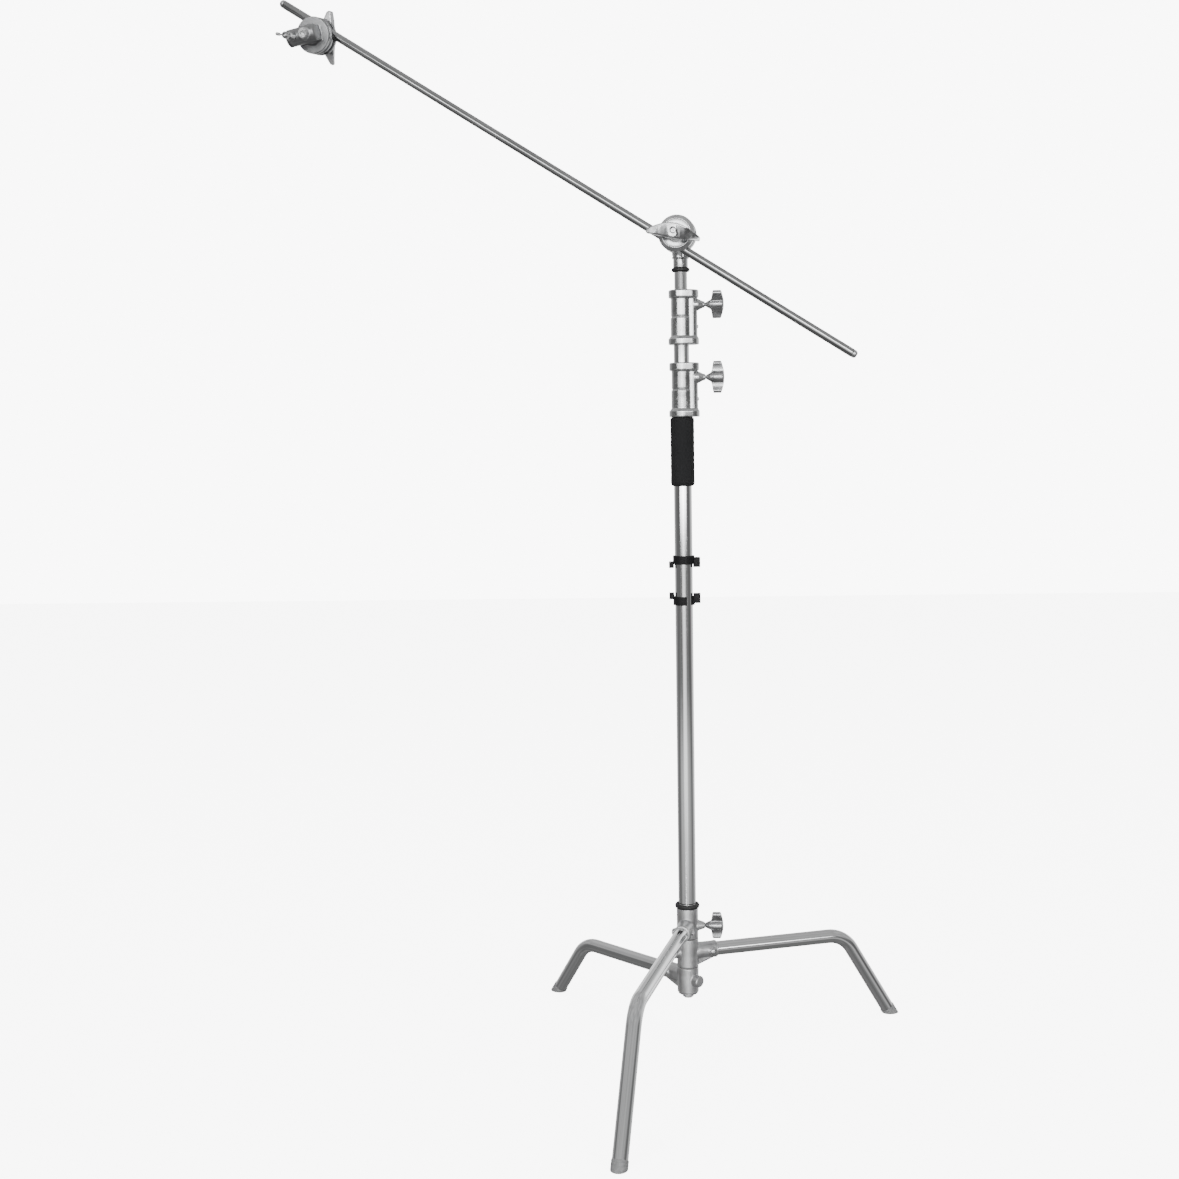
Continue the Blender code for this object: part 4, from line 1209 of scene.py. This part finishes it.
def horizon_light(nodes, share):
    """Light near the horizon. Share is 0 towards the camera's side and 1 behind the stand."""
    ramp = nodes.add("ShaderNodeValToRGB")
    ramp.color_ramp.interpolation = "EASE"
    points = ramp.color_ramp.elements
    while len(points) < len(HORIZON):
        points.new(0.5)
    for point, (position, value) in zip(points, HORIZON):
        point.position = position
        point.color = (value, value, value, 1)
    nodes.link(share, ramp.inputs[0])
    return ramp.outputs[0]


def make_world():
    """White to the camera. Reflections see a bright front and back with dark sides, as chrome tubes need."""
    world = bpy.data.worlds.new("studio")
    bpy.context.scene.world = world
    world.use_nodes = True
    world.node_tree.nodes.clear()
    nodes = NodeTree(world.node_tree)

    place = nodes.add("ShaderNodeTexCoord").outputs["Generated"]
    x, y, z = nodes.split(place)
    flat = nodes.calc("SQRT", nodes.calc("ADD", nodes.calc("MULTIPLY", x, x), nodes.calc("MULTIPLY", y, y)))
    flat = nodes.calc("MAXIMUM", flat, 0.001)
    share = nodes.calc("MULTIPLY_ADD", nodes.calc("DIVIDE", y, flat), 0.5, 0.5)

    window = nodes.calc("MULTIPLY", nodes.step(z, 0.04, 0.125, 0.0, 1.6),
                        nodes.step(share, 0.08, 0.15, 1.0, 0.0))
    window = nodes.calc("MULTIPLY", window, nodes.step(z, 0.17, 0.27, 1.0, 0.0))
    floor = nodes.calc("MULTIPLY", nodes.step(z, -0.25, -0.12, 0.12, 0.0),
                       nodes.step(share, 0.05, 0.50, 1.0, 0.0))
    right = nodes.step(nodes.calc("DIVIDE", x, flat), 0.05, 0.30, 0.0, 0.11)
    right = nodes.calc("MULTIPLY", right, nodes.step(share, 0.45, 0.80, 0.0, 1.0))
    lifted = nodes.add("ShaderNodeVectorMath", operation="ADD")
    nodes.link(horizon_light(nodes, share), lifted.inputs[0])
    nodes.link(nodes.calc("ADD", nodes.calc("ADD", window, floor), right), lifted.inputs[1])

    mixed = nodes.add("ShaderNodeMix", data_type="RGBA")
    away = nodes.calc("MAXIMUM", nodes.step(z, 0.14, 0.40, 0.0, 1.0), nodes.step(z, -0.58, -0.14, 1.0, 0.0))
    nodes.link(away, mixed.inputs["Factor"])
    nodes.link(lifted.outputs[0], mixed.inputs[6])
    nodes.link(nodes.span(z, 0.035, 0.095, -0.3, 0.3), mixed.inputs[7])

    clutter = nodes.add("ShaderNodeTexNoise")
    clutter.inputs["Scale"].default_value = 3.5
    clutter.inputs["Detail"].default_value = 3.0
    nodes.link(place, clutter.inputs["Vector"])
    shaded = nodes.add("ShaderNodeVectorMath", operation="SCALE")
    nodes.link(mixed.outputs[2], shaded.inputs[0])
    nodes.link(nodes.calc("MULTIPLY_ADD", clutter.outputs["Fac"], 1.6, 0.2), shaded.inputs["Scale"])

    studio = nodes.add("ShaderNodeBackground")
    studio.inputs["Strength"].default_value = STUDIO_STRENGTH
    nodes.link(shaded.outputs[0], studio.inputs["Color"])
    seen = nodes.add("ShaderNodeBackground")
    seen.inputs["Color"].default_value = (1, 1, 1, 1)
    seen.inputs["Strength"].default_value = SEEN_STRENGTH
    choose = nodes.add("ShaderNodeMixShader")
    nodes.link(nodes.add("ShaderNodeLightPath").outputs["Is Camera Ray"], choose.inputs[0])
    nodes.link(studio.outputs[0], choose.inputs[1])
    nodes.link(seen.outputs[0], choose.inputs[2])
    nodes.link(choose.outputs[0], nodes.add("ShaderNodeOutputWorld").inputs["Surface"])


def make_lights():
    for name, place, size, power in (("key", (-1.9, -2.6, 3.4), 2.0, 90), ("fill", (2.6, -2.0, 2.6), 2.2, 40),
                                     ("top", (0.3, 0.6, 4.6), 3.2, 110)):
        light = bpy.data.lights.new(name, "AREA")
        light.shape = "SQUARE"
        light.size = size
        light.energy = power
        lamp = bpy.data.objects.new(name, light)
        bpy.context.scene.collection.objects.link(lamp)
        aim = Vector((AXIS.x, AXIS.y, 1.0)) - Vector(place)
        lamp.matrix_world = Matrix.Translation(place) @ aim.to_track_quat("-Z", "Y").to_matrix().to_4x4()
        lamp.visible_camera = False
        lamp.visible_glossy = False


CAMERA_DISTANCE, CAMERA_HEIGHT, CAMERA_LENS = 2.944, 1.191, 45.80
CAMERA_ANGLES = (-3.62, 5.43, -0.95)        # yaw, pitch and roll in degrees


def make_camera():
    """Camera at eye level in front of the column, looking a little down and to the left."""
    data = bpy.data.cameras.new("camera")
    data.sensor_width = 36.0
    data.lens = CAMERA_LENS
    data.clip_end = 100
    yaw, pitch, roll = (math.radians(angle) for angle in CAMERA_ANGLES)
    ahead = Vector((math.sin(yaw) * math.cos(pitch), math.cos(yaw) * math.cos(pitch), -math.sin(pitch)))
    right = Vector((math.cos(yaw), -math.sin(yaw), 0))
    up = right.cross(ahead)
    side = right * math.cos(roll) + up * math.sin(roll)
    top = up * math.cos(roll) - right * math.sin(roll)
    camera = bpy.data.objects.new("camera", data)
    bpy.context.scene.collection.objects.link(camera)
    matrix = Matrix((side, top, -ahead)).transposed().to_4x4()
    matrix.translation = (AXIS.x, AXIS.y - CAMERA_DISTANCE, CAMERA_HEIGHT)
    camera.matrix_world = matrix
    bpy.context.scene.camera = camera


make_camera()
make_base()
make_column()
make_risers()
make_heads()
make_arm()
make_floor()
make_world()
make_lights()
